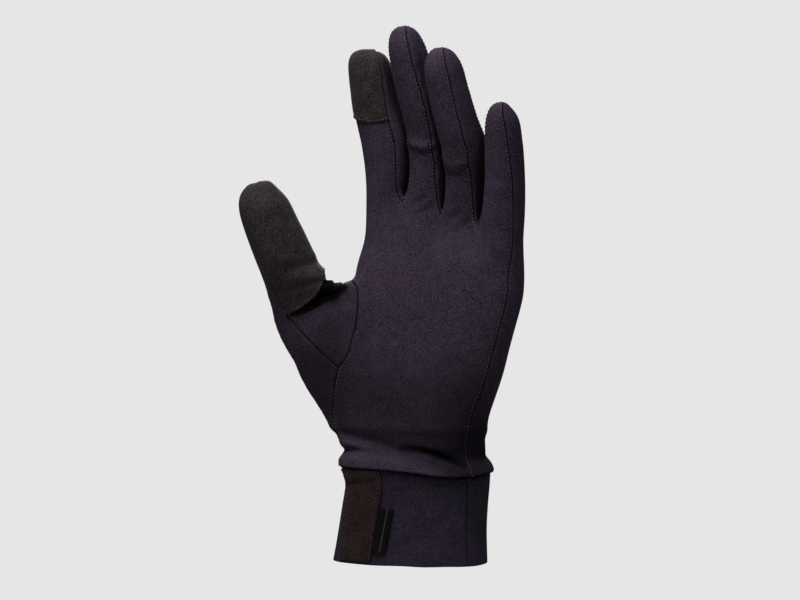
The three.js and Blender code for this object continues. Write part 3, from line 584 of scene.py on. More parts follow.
def divide(cloth: BMesh, faces: list[BMFace], cuts: int) -> None:
    """Divides faces so that they can hold a finer form.

    Args:
        cloth: The mesh.
        faces: The faces.
        cuts: How many times each of their edges is cut.
    """
    edges = list({edge for face in faces for edge in face.edges})
    bmesh.ops.subdivide_edges(cloth, edges=edges, cuts=cuts, use_grid_fill=True)


def subdivide_surface(cloth: BMesh, levels: int) -> BMesh:
    """Smooths a mesh with a subdivision surface.

    Args:
        cloth: The mesh, which is freed.
        levels: How many times it is divided.

    Returns:
        The smooth mesh.
    """
    mesh = bpy.data.meshes.new("cage")
    cloth.to_mesh(mesh)
    cloth.free()
    # Empty slots keep the faces' material numbers, which tell their panels.
    for _ in Panel:
        mesh.materials.append(None)
    cage = add_object("cage", mesh)
    smoothing = cage.modifiers.new("smoothing", "SUBSURF")
    smoothing.levels = smoothing.render_levels = levels
    bpy.context.view_layer.update()
    evaluated = cage.evaluated_get(bpy.context.evaluated_depsgraph_get())
    smooth = bmesh.new()
    smooth.from_mesh(evaluated.to_mesh())
    evaluated.to_mesh_clear()
    bpy.data.objects.remove(cage)
    bpy.data.meshes.remove(mesh)
    return smooth


def thicken(piece: bpy.types.Object, thickness: float) -> None:
    """Gives an open cloth its thickness, inwards.

    Args:
        piece: The cloth.
        thickness: The thickness.
    """
    wall = piece.modifiers.new("thickness", "SOLIDIFY")
    wall.thickness = thickness
    wall.offset = -1


def joined_to(vert: BMVert) -> set[BMVert]:
    """The points that edges join to a point.

    Args:
        vert: The point.

    Returns:
        These points and the point itself.
    """
    front, found = [vert], {vert}
    while front:
        last = front.pop()
        fresh = {edge.other_vert(last) for edge in last.link_edges} - found
        found |= fresh
        front += fresh
    return found


def keep_points(cloth: BMesh, kept: set[BMVert]) -> None:
    """Deletes all but some points of a mesh."""
    bmesh.ops.delete(cloth, geom=[vert for vert in cloth.verts if vert not in kept], context="VERTS")


def point_tree(points: list[Vector]) -> kdtree.KDTree:
    """Sorts points so that the nearest to a place is found quickly.

    Args:
        points: The points.

    Returns:
        The tree that finds it.
    """
    tree = kdtree.KDTree(len(points))
    for number, point in enumerate(points):
        tree.insert(point, number)
    tree.balance()
    return tree


def span_tree(spans: list[tuple[Vector, Vector]], parts: int = 4) -> kdtree.KDTree:
    """Sorts points along straight spans so that the nearest to a place is found quickly.

    Args:
        spans: The two ends of each span.
        parts: How many parts each is divided into.

    Returns:
        The tree that finds it.
    """
    return point_tree([a.lerp(b, part / parts).to_3d() for a, b in spans for part in range(parts + 1)])


def lines_of(edges: list[BMEdge], places: dict[BMVert, Vector]) -> list[list[Vector]]:
    """Chains edges into lines that run between their forks and ends.

    Args:
        edges: The edges.
        places: Where each vertex of theirs is drawn.

    Returns:
        The points of each line.
    """
    links: dict[BMVert, list[BMEdge]] = {}
    for edge in edges:
        for vert in edge.verts:
            links.setdefault(vert, []).append(edge)
    forks = [vert for vert, around in links.items() if len(around) != 2]
    used: set[BMEdge] = set()
    lines = []
    for start in forks + list(links):
        for first in links[start]:
            if first in used:
                continue
            line, vert, edge = [places[start]], start, first
            while edge is not None and edge not in used:
                used.add(edge)
                vert = edge.other_vert(vert)
                line.append(places[vert])
                onward = [e for e in links[vert] if e not in used]
                edge = onward[0] if len(links[vert]) == 2 and onward else None
            lines.append(line)
    return lines


def resample(line: list[Vector], pitch: float) -> list[tuple[Vector, Vector]]:
    """Places at an even pitch along a line.

    Args:
        line: The line's points.
        pitch: The distance between two places.

    Returns:
        Each place with the line's direction there.
    """
    places, due = [], pitch / 2
    for a, b in zip(line, line[1:]):
        span = (b - a).length
        while span > 0 and due < span:
            places.append((a.lerp(b, due / span), (b - a).normalized()))
            due += pitch
        due -= span
    return places


# Pieces


@dataclass(frozen=True)
class HemSag:
    """How the front of the hand's hem hangs over the cuff."""

    depth: float = 3.3 * MM
    proud: float = 0.8 * MM  # how far it stands out there
    place: float = 23 * MM  # to the right of the origin as the viewer sees it
    width: float = 24 * MM
    front: float = 10 * MM  # it fades out over this depth at the sides of the wrist

    def share(self, point: Vector) -> float:
        """The share of its depth that the hem hangs down at a point round the wrist."""
        aside = (view_place(point).x - self.place) / self.width
        return math.exp(-(aside**2)) * smooth_step(point.dot(TO_VIEWER) / self.front)

    def move(self, point: Vector) -> Vector:
        """How far a point at the hem moves.

        Args:
            point: The point.

        Returns:
            The move.
        """
        share = self.share(point)
        outwards = Vector((point.x, point.y, 0)).normalized()
        return outwards * self.proud * smooth_step(2 * share) - Vector((0, 0, self.depth * share))


HEM_SAG = HemSag()


@dataclass(frozen=True)
class ShadeOval:
    """An oval of painted shade, in millimetres as the viewer sees it."""

    right: float
    up: float
    across: float  # half its width
    along: float  # half its height
    shade: float

    def at(self, place: Vector) -> float:
        """How much painted shade it lays on the knit at a place in the view."""
        aside, above = place.x / MM - self.right, place.y / MM - self.up
        return self.shade * math.exp(-((aside / self.across) ** 2) - (above / self.along) ** 2)


SHADE_OVALS = [
    # Painted shade over the thumb's gusset, and over the palm below the fingers.
    ShadeOval(-38.0, 103.0, 12.0, 20.0, 0.42),
    ShadeOval(10.0, 152.0, 32.0, 13.0, 0.24),
]


@dataclass(frozen=True)
class SeamLine:
    """A line beside a seam for its stitches, and the two panels that the seam joins."""

    panels: frozenset[Panel]
    points: list[Vector]


@dataclass
class Hand:
    """The six knitted panels of the hand, sewn into one skin and cut apart along its seams."""

    cloth: float = 1.0 * MM
    seam_reach: float = 1.0 * MM  # a panel's edge finds its neighbour's within this
    edge_facing: float = 0.5  # a face that looks at the neighbour by more than this is at the edge
    rim_height: float = 0.05 * MM  # and so is one no higher than this at the wrist
    corner_reach: float = 0.7 * MM  # loose points closer than this are joined
    corner_rounds: int = 4
    hem_top: float = 46 * MM  # the seams are closed above this height
    hem: float = 1.6 * MM
    # How far each turn of the hem goes inwards and down, as shares of hem.
    hem_turns: tuple[tuple[float, float], ...] = ((0.12, 0.1), (0.3, 0.06), (1.0, 0.0))
    fullness: float = 0.2 * MM  # the wearer fills the cloth out by this much
    ease: float = 0.3 * MM  # slow unevenness of the filled cloth
    ease_length: float = 22 * MM
    seam_width: float = 0.8 * MM  # half the width of the valley at a seam
    seam_depth: float = 0.55 * MM
    # Painted shade along the seam's valley.
    seam_shade: float = 0.62
    seam_swell: float = 0.12 * MM
    swell_place: float = 1.7 * MM  # from the seam to the swelling beside it
    swell_width: float = 1.0 * MM
    pucker: float = 0.16 * MM
    pucker_reach: float = 3.5 * MM
    pucker_length: float = 2.6 * MM
    stitch_side: float = 0.7 * MM  # from a seam to its row of stitches
    fine_shade: float = 1.0  # the faces under folds with more painted shade than this are divided
    fine_reach: float = 2.0  # within so many half widths
    fine_facing: float = -0.6  # where they face the viewer by more than this
    gap_reach: float = 14 * MM  # cloth within this paints shade on the cloth that faces it
    gap_start: float = 0.5 * MM
    gap_turn: float = 0.5  # how far the side looks turn to and from the viewer
    gap_shade: float = 0.7
    hem_line: float = 44.2 * MM
    hem_rise: float = 5 * MM  # the tucked cloth comes out to the hem over this height
    sag_top: float = 58 * MM
    sag_height: float = 13 * MM
    heel_top: float = 102 * MM
    heel_depth: float = 6 * MM
    heel_gain: float = 1.4  # how quickly the tuck grows as the cloth turns to the viewer
    # Shade is painted over the heel, most on the little finger's side.
    shade_top: float = 116 * MM
    heel_shade: float = 0.62
    heel_side: float = 28 * MM
    heel_sides: tuple[float, float] = (0.8, 0.5)  # its share by the thumb, and what the other side adds
    wrist_fold: float = 50 * MM  # height of the fold straight above the origin, as the eye sees it
    wrist_slope: float = 0.3
    ridge_rise: float = 6 * MM  # the cloth comes out again over this height below the fold
    # The cloth gathers above the cuff: height, size and half width of each swelling or hollow.
    gathers: tuple[tuple[float, float, float], ...] = (
        (47.2, 0.4, 1.5), (51.0, -0.6, 1.3), (54.6, 0.4, 1.7), (58.6, -0.45, 1.4), (61.8, 0.35, 1.8),
    )
    gather_top: float = 72 * MM
    gather_turn: float = 1.3  # how often the rings wander round the wrist
    gather_drift: float = 2.4 * MM  # and how far up and down
    gather_sides: tuple[float, float] = (0.35, 0.65)  # their least share, and what the thumb's side adds
    knit: FleeceKnit = FleeceKnit("brushed_fleece_knit", "100b12", "483d4d")
    skin: BMesh = field(default_factory=bmesh.new, init=False)  # a face's material number is its panel
    # What the patches and the stitches are laid on, made by build.
    bare: BMesh | None = field(default=None, init=False)
    surface: BVHTree | None = field(default=None, init=False)
    seams: list[SeamLine] = field(default_factory=list, init=False)

    def build(self) -> "Hand":
        """Builds the panels, and keeps the skin before it is folded and the stitch lines.

        Returns:
            The hand itself.
        """
        self.join_panels()
        self.weld_seams()
        self.close_corners()
        # The panels' inner faces aren't joined to the highest fingertip.
        keep_points(self.skin, joined_to(max(self.skin.verts, key=lambda vert: vert.co.z)))
        pair_triangles(self.skin)
        self.skin = subdivide_surface(self.skin, 2)
        self.turn_hem()
        seams = {vert for edge in self.seam_edges() for vert in edge.verts}
        divide(self.skin, [face for vert in seams for face in vert.link_faces], 2)
        self.fill_out()
        self.refine_folds()
        self.nudge()
        self.bare = self.skin.copy()
        self.tuck_heel()
        self.gather_wrist()
        fold_cloth(self.skin, HAND_FOLDS + THUMB_PATCH_FOLDS)
        edges = self.seam_edges()
        self.seams = self.stitch_lines(edges)
        self.sink_seams(edges)
        self.surface = BVHTree.FromBMesh(self.skin)
        self.shade_gaps()
        self.cut_panels()
        return self

    def join_panels(self) -> None:
        """Puts the outer and inner faces of the panels into the skin, without their edges."""
        walls = {panel: node_wall(panel.value) for panel in Panel}
        trees = {panel: point_tree([v.co for v in wall.verts]) for panel, wall in walls.items()}
        for number, (panel, wall) in enumerate(walls.items()):
            self.drop_edge_faces(wall, [tree for other, tree in trees.items() if other is not panel])
            for face in wall.faces:
                face.material_index = number
            mesh = bpy.data.meshes.new("wall")
            wall.to_mesh(mesh)
            wall.free()
            self.skin.from_mesh(mesh)
            bpy.data.meshes.remove(mesh)

    def drop_edge_faces(self, wall: BMesh, others: list[kdtree.KDTree]) -> None:
        """Deletes the narrow faces at a panel's edge, which face a neighbour or the cuff.

        Args:
            wall: The panel.
            others: The points of the other panels.
        """
        wall.normal_update()
        across = {}
        for vert in wall.verts:
            point, _, distance = min((tree.find(vert.co) for tree in others), key=lambda hit: hit[2])
            if distance < self.seam_reach:
                across[vert] = (point - vert.co).normalized()
        rim = min(vert.co.z for vert in wall.verts) + self.rim_height
        edge = [
            face
            for face in wall.faces
            if all(vert.co.z < rim for vert in face.verts)
            or all(vert in across for vert in face.verts)
            and sum(across[v].dot(face.normal) for v in face.verts) > self.edge_facing * len(face.verts)
        ]
        bmesh.ops.delete(wall, geom=edge, context="FACES")

    def weld_seams(self) -> None:
        """Welds the panels' edges where each is the other's nearest."""
        rims = [vert for vert in self.skin.verts if vert.is_boundary]
        owner = {vert: vert.link_faces[0].material_index for vert in rims}
        own = {number: [vert for vert in rims if owner[vert] == number] for number in set(owner.values())}
        trees = {number: point_tree([vert.co for vert in verts]) for number, verts in own.items()}
        groups = {vert: {vert} for vert in rims}
        for vert in rims:
            for number, tree in trees.items():
                _, index, distance = tree.find(vert.co)
                mate = own[number][index]
                back = own[owner[vert]][trees[owner[vert]].find(mate.co)[1]]
                if number != owner[vert] and distance < self.seam_reach and back is vert:
                    joined = groups[vert] | groups[mate]
                    groups.update({member: joined for member in joined})
        targets = {}
        for group in {id(group): group for group in groups.values()}.values():
            head, *rest = sorted(group, key=lambda member: member.index)
            head.co = sum((member.co for member in group), Vector()) / len(group)
            targets.update({member: head for member in rest})
        bmesh.ops.weld_verts(self.skin, targetmap=targets)

    def above_hem(self, item: BMEdge | BMFace) -> bool:
        """Whether an edge or a face reaches above the hem."""
        return max(vert.co.z for vert in item.verts) > self.hem_top

    def close_corners(self) -> None:
        """Closes the corners where several seams meet, and drops single faces across the wall."""
        skin = self.skin
        for _ in range(self.corner_rounds):
            loose = [edge for edge in skin.edges if len(edge.link_faces) != 2 and self.above_hem(edge)]
            corners = list({vert for edge in loose for vert in edge.verts})
            bmesh.ops.remove_doubles(skin, verts=corners, dist=self.corner_reach)
            across = [
                face
                for face in skin.faces
                if any(edge.is_boundary for edge in face.edges)
                and self.above_hem(face)
                and sum(len(edge.link_faces) != 2 for edge in face.edges) > 1
            ]
            bmesh.ops.delete(skin, geom=across, context="FACES")

    def turn_hem(self) -> None:
        """Turns the cloth in where it is sewn to the cuff."""
        rim = [vert.co for vert in self.skin.verts if vert.is_boundary]
        middle = sum(rim, Vector()) / len(rim)
        for inward, down in self.hem_turns:
            edges = [edge for edge in self.skin.edges if edge.is_boundary]
            turned = bmesh.ops.extrude_edge_only(self.skin, edges=edges)["geom"]
            for vert in (item for item in turned if isinstance(item, BMVert)):
                way = ((middle - vert.co) * Vector((1, 1, 0))).normalized()
                vert.co += (way * inward - Vector((0, 0, down))) * self.hem

    def seam_edges(self) -> list[BMEdge]:
        """The edges between two panels."""
        inner = (edge for edge in self.skin.edges if len(edge.link_faces) == 2)
        return [edge for edge in inner if len({face.material_index for face in edge.link_faces}) == 2]

    def fill_out(self) -> None:
        """Fills the cloth out, a little unevenly."""
        self.skin.normal_update()
        for vert in self.skin.verts:
            vert.co += vert.normal * (self.fullness + self.ease * noise.noise(vert.co / self.ease_length))

    def refine_folds(self) -> None:
        """Divides the faces under the folds with the most painted shade."""
        for fold in (fold for fold in HAND_FOLDS if fold.shade > self.fine_shade):
            line = fold.line()
            tree = point_tree([point.xy.to_3d() for point in line])
            reach = self.fine_reach * max(point[3] for point in line)
            near = [
                face
                for face in self.skin.faces
                if face.normal.dot(TO_VIEWER) > self.fine_facing
                and tree.find(view_place(face.calc_center_median()).to_3d())[2] < reach
            ]
            divide(self.skin, near, 2)

    def nudge(self) -> None:
        """Moves the cloth by the nudges."""
        self.skin.normal_update()
        for vert in self.skin.verts:
            vert.co += sum([nudge.move(vert) for nudge in NUDGES], Vector())

    def tuck_heel(self) -> None:
        """Draws the heel of the hand in above the fold at the wrist, so that it faces down."""
        self.skin.normal_update()
        layer = shade_layer(self.skin)
        least, more = self.heel_sides
        for vert in self.skin.verts:
            place = view_place(vert.co)
            fold = self.wrist_fold - self.wrist_slope * place.x
            outward = smooth_step((place.y - fold + self.ridge_rise) / self.ridge_rise)
            # Painted shade over the heel and in the ovals of painted shade.
            beside = least + more * smooth_step(place.x / self.heel_side)
            below = smooth_step((self.shade_top - place.y) / (self.shade_top - fold))
            heel_and_oval_shade = self.heel_shade * beside * below * outward + sum(nap.at(place) for nap in SHADE_OVALS)
            vert[layer] = min(heel_and_oval_shade, 1.0)
            inward = smooth_step((self.heel_top - place.y) / (self.heel_top - fold))
            above = smooth_step((vert.co.z - self.hem_line) / self.hem_rise)
            facing = smooth_step(vert.normal.dot(TO_VIEWER) * self.heel_gain)
            vert.co += TO_VIEWER * -self.heel_depth * inward * outward * above * facing

    def gather_wrist(self) -> None:
        """Gathers the cloth in rings above the cuff, most beside the thumb, and lets the hem hang."""
        self.skin.normal_update()
        least, more = self.gather_sides
        for vert in self.skin.verts:
            if self.hem_top - self.hem < vert.co.z < self.gather_top:
                round_wrist = Vector((vert.normal.x, vert.normal.y, 0)) * self.gather_turn
                height = vert.co.z - noise.noise(round_wrist) * self.gather_drift
                lift = sum(
                    size * MM * math.exp(-(((height - middle * MM) / (width * MM)) ** 2))
                    for middle, size, width in self.gathers
                )
                strength = least + more * smooth_step(-vert.normal.dot(VIEW_RIGHT))
                vert.co += vert.normal * lift * strength
            share = smooth_step((self.sag_top - vert.co.z) / self.sag_height)
            vert.co += HEM_SAG.move(vert.co) * share

    def stitch_lines(self, edges: list[BMEdge]) -> list[SeamLine]:
        """Lines along the seams, moved to the side of the panel that comes first.

        Args:
            edges: The edges of the seams.

        Returns:
            The lines.
        """
        pairs: dict[frozenset[int], list[BMEdge]] = {}
        for edge in edges:
            pairs.setdefault(frozenset(face.material_index for face in edge.link_faces), []).append(edge)
        lines = []
        for pair, joined in pairs.items():
            sides: dict[BMVert, Vector] = {}
            for edge in joined:
                first = min(edge.link_faces, key=lambda face: face.material_index)
                way = (edge.verts[1].co - edge.verts[0].co).normalized()
                side = first.calc_center_median() - edge.verts[0].co
                for vert in edge.verts:
                    sides[vert] = sides.get(vert, Vector()) + (side - way * side.dot(way)).normalized()
            moved = {vert: vert.co + side.normalized() * self.stitch_side for vert, side in sides.items()}
            panels = frozenset(list(Panel)[number] for number in pair)
            lines += [SeamLine(panels, line) for line in lines_of(joined, moved)]
        return lines

    def sink_seams(self, edges: list[BMEdge]) -> None:
        """Draws the seams in, paints shade along their valleys and puckers the cloth beside them.

        Args:
            edges: The edges of the seams.
        """
        tree = span_tree([(edge.verts[0].co, edge.verts[1].co) for edge in edges])
        self.skin.normal_update()
        layer = shade_layer(self.skin)
        for vert in self.skin.verts:
            distance = tree.find(vert.co)[2]
            # Painted shade along the seam's valley.
            vert[layer] = max(vert[layer], self.seam_shade * (1 - smooth_step(distance / self.seam_width)))
            valley = self.seam_depth * max(1 - distance / self.seam_width, 0) ** 2
            swell = self.seam_swell * math.exp(-(((distance - self.swell_place) / self.swell_width) ** 2))
            beside = max(1 - distance / self.pucker_reach, 0) * self.pucker
            wave = noise.noise(vert.co / self.pucker_length) * beside
            vert.co += vert.normal * (wave + swell - valley)

    def shade_gaps(self) -> None:
        """Paints shade on the cloth where another part of the cloth faces it closely."""
        self.skin.normal_update()
        layer = shade_layer(self.skin)
        turns = [TO_VIEWER * turn for turn in (0, self.gap_turn, -self.gap_turn)]
        for vert in self.skin.verts:
            start = vert.co + vert.normal * self.gap_start
            for turn in turns:
                way = (vert.normal + turn).normalized()
                distance = self.surface.ray_cast(start, way, self.gap_reach)[3]
                if distance is not None:
                    # Painted shade where the ray meets cloth.
                    shade = self.gap_shade * (1 - distance / self.gap_reach) / len(turns)
                    vert[layer] = min(vert[layer] + shade, 1.0)

    def cut_panels(self) -> None:
        """Cuts the skin along its seams into panels and gives each its thickness."""
        material = self.knit.material()
        for number, panel in enumerate(Panel):
            piece = self.skin.copy()
            others = [face for face in piece.faces if face.material_index != number]
            bmesh.ops.delete(piece, geom=others, context="FACES")
            made = new_piece(f"{panel.value}_cloth", piece, material, [panel.value])
            thicken(made, self.cloth)
        self.skin.free()


@dataclass
class TouchPatch:
    """A suede patch on the palm side of a fingertip, sewn down along its lower edge.

    edge is the lower edge from left to right as the viewer sees it, in millimetres to the right of the
    origin and above it.
    """

    node: str
    panel: Panel
    edge: list[tuple[float, float]]
    folds: list[Fold] = field(default_factory=list)
    finish: Suede = Suede("touch_suede", "0d0a0c", "3e373a")
    layer: float = 0.5 * MM
    proud: float = 0.72 * MM  # how far the patch stands out of the knit
    sunk: float = -0.15 * MM
    roll: float = 0.6 * MM  # radius of the rounded edge
    lip: float = 0.4 * MM  # the cut edge stands up by this much
    lip_width: float = 1.2 * MM
    rim_fade: float = 3 * MM  # shade is painted on the rim farther than this from the cut edge
    stitch_inset: float = 1.1 * MM
    stitch_depth: float = 0.25 * MM  # the stitches draw the suede in by this much
    stitch_width: float = 0.45 * MM
    ease: float = 0.12 * MM
    ease_length: float = 5 * MM
    reach: float = 7 * MM  # the patch covers the skin no farther than this round its node
    fine_reach: float = 2.5 * MM  # faces this close to the cut are divided
    snap: float = 0.08 * MM  # points this close to the cut are left on it
    surface: BVHTree | None = field(default=None, init=False)

    def build(self, hand: Hand) -> bpy.types.Object:
        """Builds the patch from the skin that it covers.

        Args:
            hand: The hand.

        Returns:
            The piece.
        """
        patch = hand.bare.copy()
        self.keep_covered(patch)
        self.trim(patch)
        fold_cloth(patch, self.folds)
        self.raise_up(patch)
        self.surface = BVHTree.FromBMesh(patch)
        made = new_piece(f"{self.node}_suede", patch, self.finish.material(), [self.node])
        thicken(made, self.layer)
        return made

    def spans(self) -> list[tuple[Vector, Vector]]:
        """The straight spans of the lower edge, in metres."""
        points = [Vector(point) * MM for point in self.edge]
        return list(zip(points, points[1:]))

    def keep_covered(self, patch: BMesh) -> None:
        """Deletes the faces that the patch doesn't reach.

        Args:
            patch: A copy of the skin.
        """
        low, high = (Vector(corner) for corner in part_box(self.node))
        number = list(Panel).index(self.panel)
        away = []
        for face in patch.faces:
            middle = face.calc_center_median()
            inside = all(low[i] - self.reach < middle[i] < high[i] + self.reach for i in range(3))
            if face.material_index != number or not inside:
                away.append(face)
        bmesh.ops.delete(patch, geom=away, context="FACES")

    def trim(self, patch: BMesh) -> None:
        """Cuts the patch along its lower edge, and keeps its largest part.

        Args:
            patch: The faces near the patch.
        """
        points = [point for span in self.spans() for point in span]
        near = []
        for face in patch.faces:
            middle = view_place(face.calc_center_median())
            if min((middle - point).length for point in points) < self.fine_reach:
                near.append(face)
        divide(patch, near, 1)
        for a, b in self.spans():
            geom = patch.verts[:] + patch.edges[:] + patch.faces[:]
            side = (plane_point(a) - EYE).cross(plane_point(b) - EYE).normalized()
            cut = {"dist": self.snap, "plane_co": EYE, "plane_no": side, "clear_outer": True}
            bmesh.ops.bisect_plane(patch, geom=geom, **cut)
        left, largest = set(patch.verts), set()
        while left:
            part = joined_to(left.pop())
            left -= part
            largest = max(largest, part, key=len)
        keep_points(patch, largest)

    def raise_up(self, patch: BMesh) -> None:
        """Lifts the patch off the knit, with a rounded edge and a lip where it was cut.

        Args:
            patch: The trimmed patch.
        """
        rim = span_tree([(e.verts[0].co, e.verts[1].co) for e in patch.edges if e.is_boundary])
        cut = span_tree(self.spans(), 12)
        patch.normal_update()
        layer = shade_layer(patch)
        for vert in patch.verts:
            inside = min(rim.find(vert.co)[2] / self.roll, 1)
            height = self.sunk + (self.proud - self.sunk) * math.sqrt(1 - (1 - inside) ** 2)
            above = cut.find(view_place(vert.co).to_3d())[2]
            lip = self.lip * inside * math.exp(-((above / self.lip_width) ** 2))
            beside = (above - self.stitch_inset) / self.stitch_width
            row = self.stitch_depth * math.exp(-(beside**2))
            grain = self.ease * noise.noise(vert.co / self.ease_length)
            # Painted shade along the rounded rim, fading out near the cut.
            vert[layer] = max(vert[layer], (1 - inside) * smooth_step(above / self.rim_fade))
            vert.co += vert.normal * (height + lip - row + grain)

    def stitch_row(self, rows: "Stitches", zigzag: float = 0.0) -> None:
        """Adds the row of stitches along the lower edge.

        Args:
            rows: The stitches to add to.
            zigzag: How far the row swings to both sides.
        """
        line = []
        for a, b in self.spans():
            way = (b - a).normalized()
            inward = Vector((-way.y, way.x)) * self.stitch_inset
            line += [a + inward, b + inward]
        rows.seen(line, self.surface, zigzag)


@dataclass
class Cuff:
    """The cuff: a double band with a side seam, a suede strip and a bare woven tab."""

    edge_radius: float = 0.9 * MM
    strip_radius: float = 0.25 * MM
    seam_place: float = 27.0 * MM  # to the right of the origin as the viewer sees it
    seam_reach: float = 2 * MM  # faces this close to the seam are divided
    seam_facing: float = 0.1  # the seam is seen where the band faces the viewer by more than this
    seam_width: float = 0.9 * MM
    seam_depth: float = 0.3 * MM
    # Painted shade in the seam's valley.
    seam_shade: float = 0.45
    # The hem of the hand covers the top of the band, and shade is painted under it.
    hem_line: float = 43.9 * MM
    hem_reach: float = 2.0 * MM
    hem_shade: float = 0.9
    hem_tuck: float = 2.8 * MM  # the band's top lies back by this where the hem hangs over it
    ease: float = 0.25 * MM
    ease_length: float = 14 * MM
    # Darker than the hand's knit: painted shade for the light that falls off towards the wrist.
    knit: FleeceKnit = FleeceKnit("double_fleece_knit", "0d0a10", "3b3443")
    suede: Suede = Suede("grip_suede", "060404", "392727")
    ribbon: WovenRibbon = WovenRibbon("woven_satin_ribbon", "030304", "070708")
    surface: BVHTree | None = field(default=None, init=False)  # the strip's, for its stitches

    def build(self) -> "Cuff":
        """Builds the band, the strip and the tab that is caught under the strip's edge.

        Returns:
            The cuff itself.
        """
        self.band()
        self.surface = self.trimming("cuff_grip_strip", "cuff_grip_suede", 48, self.suede)
        self.trimming("cuff_tab", "cuff_tab_ribbon", 50, self.ribbon)
        return self

    def rounded(self, node: str, radius: float, segments: int, angle: float) -> BMesh:
        """A smooth copy of a node with rounded edges.

        Args:
            node: The node.
            radius: The radius of its edges.
            segments: How many spans the rounding has.
            angle: The least bend of an edge that is rounded, in degrees.

        Returns:
            The copy.
        """
        body = node_wall(node)
        pair_triangles(body)
        body.normal_update()
        edges = [edge for edge in body.edges if edge.calc_face_angle(0.0) > math.radians(angle)]
        bmesh.ops.bevel(
            body, geom=edges, offset=radius, offset_type="OFFSET", segments=segments, profile=0.5,
            affect="EDGES", clamp_overlap=True, material=-1,
        )
        return subdivide_surface(body, 2)

    def ease_cloth(self, body: BMesh) -> None:
        """Gives the band and what lies on it the same slow unevenness and folds.

        Args:
            body: A piece of the cuff.
        """
        body.normal_update()
        for vert in body.verts:
            vert.co += vert.normal * self.ease * noise.noise(vert.co / self.ease_length)
        fold_cloth(body, CUFF_FOLDS)

    def band(self) -> None:
        """Builds the band, with its side seam pressed into the outer wall."""
        band = self.rounded("cuff_band", self.edge_radius, 3, 50)
        band.normal_update()
        near = [
            face
            for face in band.faces
            if abs(view_place(face.calc_center_median()).x - self.seam_place) < self.seam_reach
            and face.normal.dot(TO_VIEWER) > 2 * self.seam_facing
        ]
        divide(band, near, 2)
        band.normal_update()
        layer = shade_layer(band)
        for vert in band.verts:
            share = HEM_SAG.share(vert.co)
            above = vert.co.z - self.hem_line + HEM_SAG.depth * share
            # Painted shade under the hem.
            vert[layer] = self.hem_shade * (1 - smooth_step(-above / self.hem_reach))
            inwards = Vector((-vert.co.x, -vert.co.y, 0)).normalized()
            under = smooth_step(above / self.hem_tuck + 0.5) * smooth_step(2 * share)
            vert.co += inwards * self.hem_tuck * under
            if vert.normal.dot(TO_VIEWER) > self.seam_facing:
                distance = abs(view_place(vert.co).x - self.seam_place)
                beside = max(1 - distance / self.seam_width, 0)
                # Painted shade in the seam's valley.
                vert[layer] = max(vert[layer], self.seam_shade * beside)
                vert.co -= vert.normal * self.seam_depth * beside**2
        self.ease_cloth(band)
        new_piece("cuff_band_knit", band, self.knit.material(), ["cuff_band"])

    def trimming(self, node: str, name: str, angle: float, finish: Finish) -> BVHTree:
        """Builds a thin piece that lies on the band.

        Args:
            node: The node that it stands for.
            name: Its name.
            angle: The least bend of an edge that is rounded, in degrees.
            finish: Its finish.

        Returns:
            Its surface.
        """
        body = self.rounded(node, self.strip_radius, 2, angle)
        self.ease_cloth(body)
        surface = BVHTree.FromBMesh(body)
        new_piece(name, body, finish.material(), [node])
        return surface


@dataclass
class Stitches:
    """Rows of short thread stitches, joined into one piece."""

    name: str
    slot: str
    thread: Thread
    length: float = 1.1 * MM
    pitch: float = 2.0 * MM
    radius: float = 0.14 * MM
    lift: float = 0.4  # from the cloth to a stitch's middle, in radii
    places: list[tuple[Vector, Vector]] = field(default_factory=list)

    def along(self, line: list[Vector], surface: BVHTree) -> None:
        """Adds a row along a line in space.

        Args:
            line: The line's points.
            surface: The cloth that the row lies on.
        """
        for place, way in resample(line, self.pitch):
            point, normal, _, _ = surface.find_nearest(place)
            self.places.append((point + normal * self.radius * self.lift, way))

    def seen(self, line: list[Vector], surface: BVHTree, zigzag: float = 0.0) -> None:
        """Adds a row along a line that is given as the viewer sees it.

        Args:
            line: The line's points: how far to the right, and how far up.
            surface: The cloth that the row lies on.
            zigzag: How far every other end of a stitch lies to the side.
        """
        flat = [plane_point(place) for place in line]
        swing = 1
        for place, way in resample(flat, self.pitch):
            across = way.cross(TO_VIEWER)
            point, normal, _, _ = surface.ray_cast(EYE, (place - EYE).normalized())
            if point is not None:
                turned = way * self.length + across * zigzag * swing
                self.places.append((point + normal * self.radius * self.lift, turned.normalized()))
            swing = -swing

    def build(self) -> bpy.types.Object:
        """Makes every stitch a small spindle of thread.

        Returns:
            The piece.
        """
        rows = bmesh.new()
        for place, way in self.places:
            turn = way.to_track_quat("Z", "Y").to_matrix().to_4x4()
            size = Matrix.Diagonal((self.radius, self.radius, self.length / 2, 1))
            spot = Matrix.Translation(place) @ turn @ size
            bmesh.ops.create_icosphere(rows, subdivisions=1, radius=1, matrix=spot)
        return new_piece(self.name, rows, self.thread.material(), [])


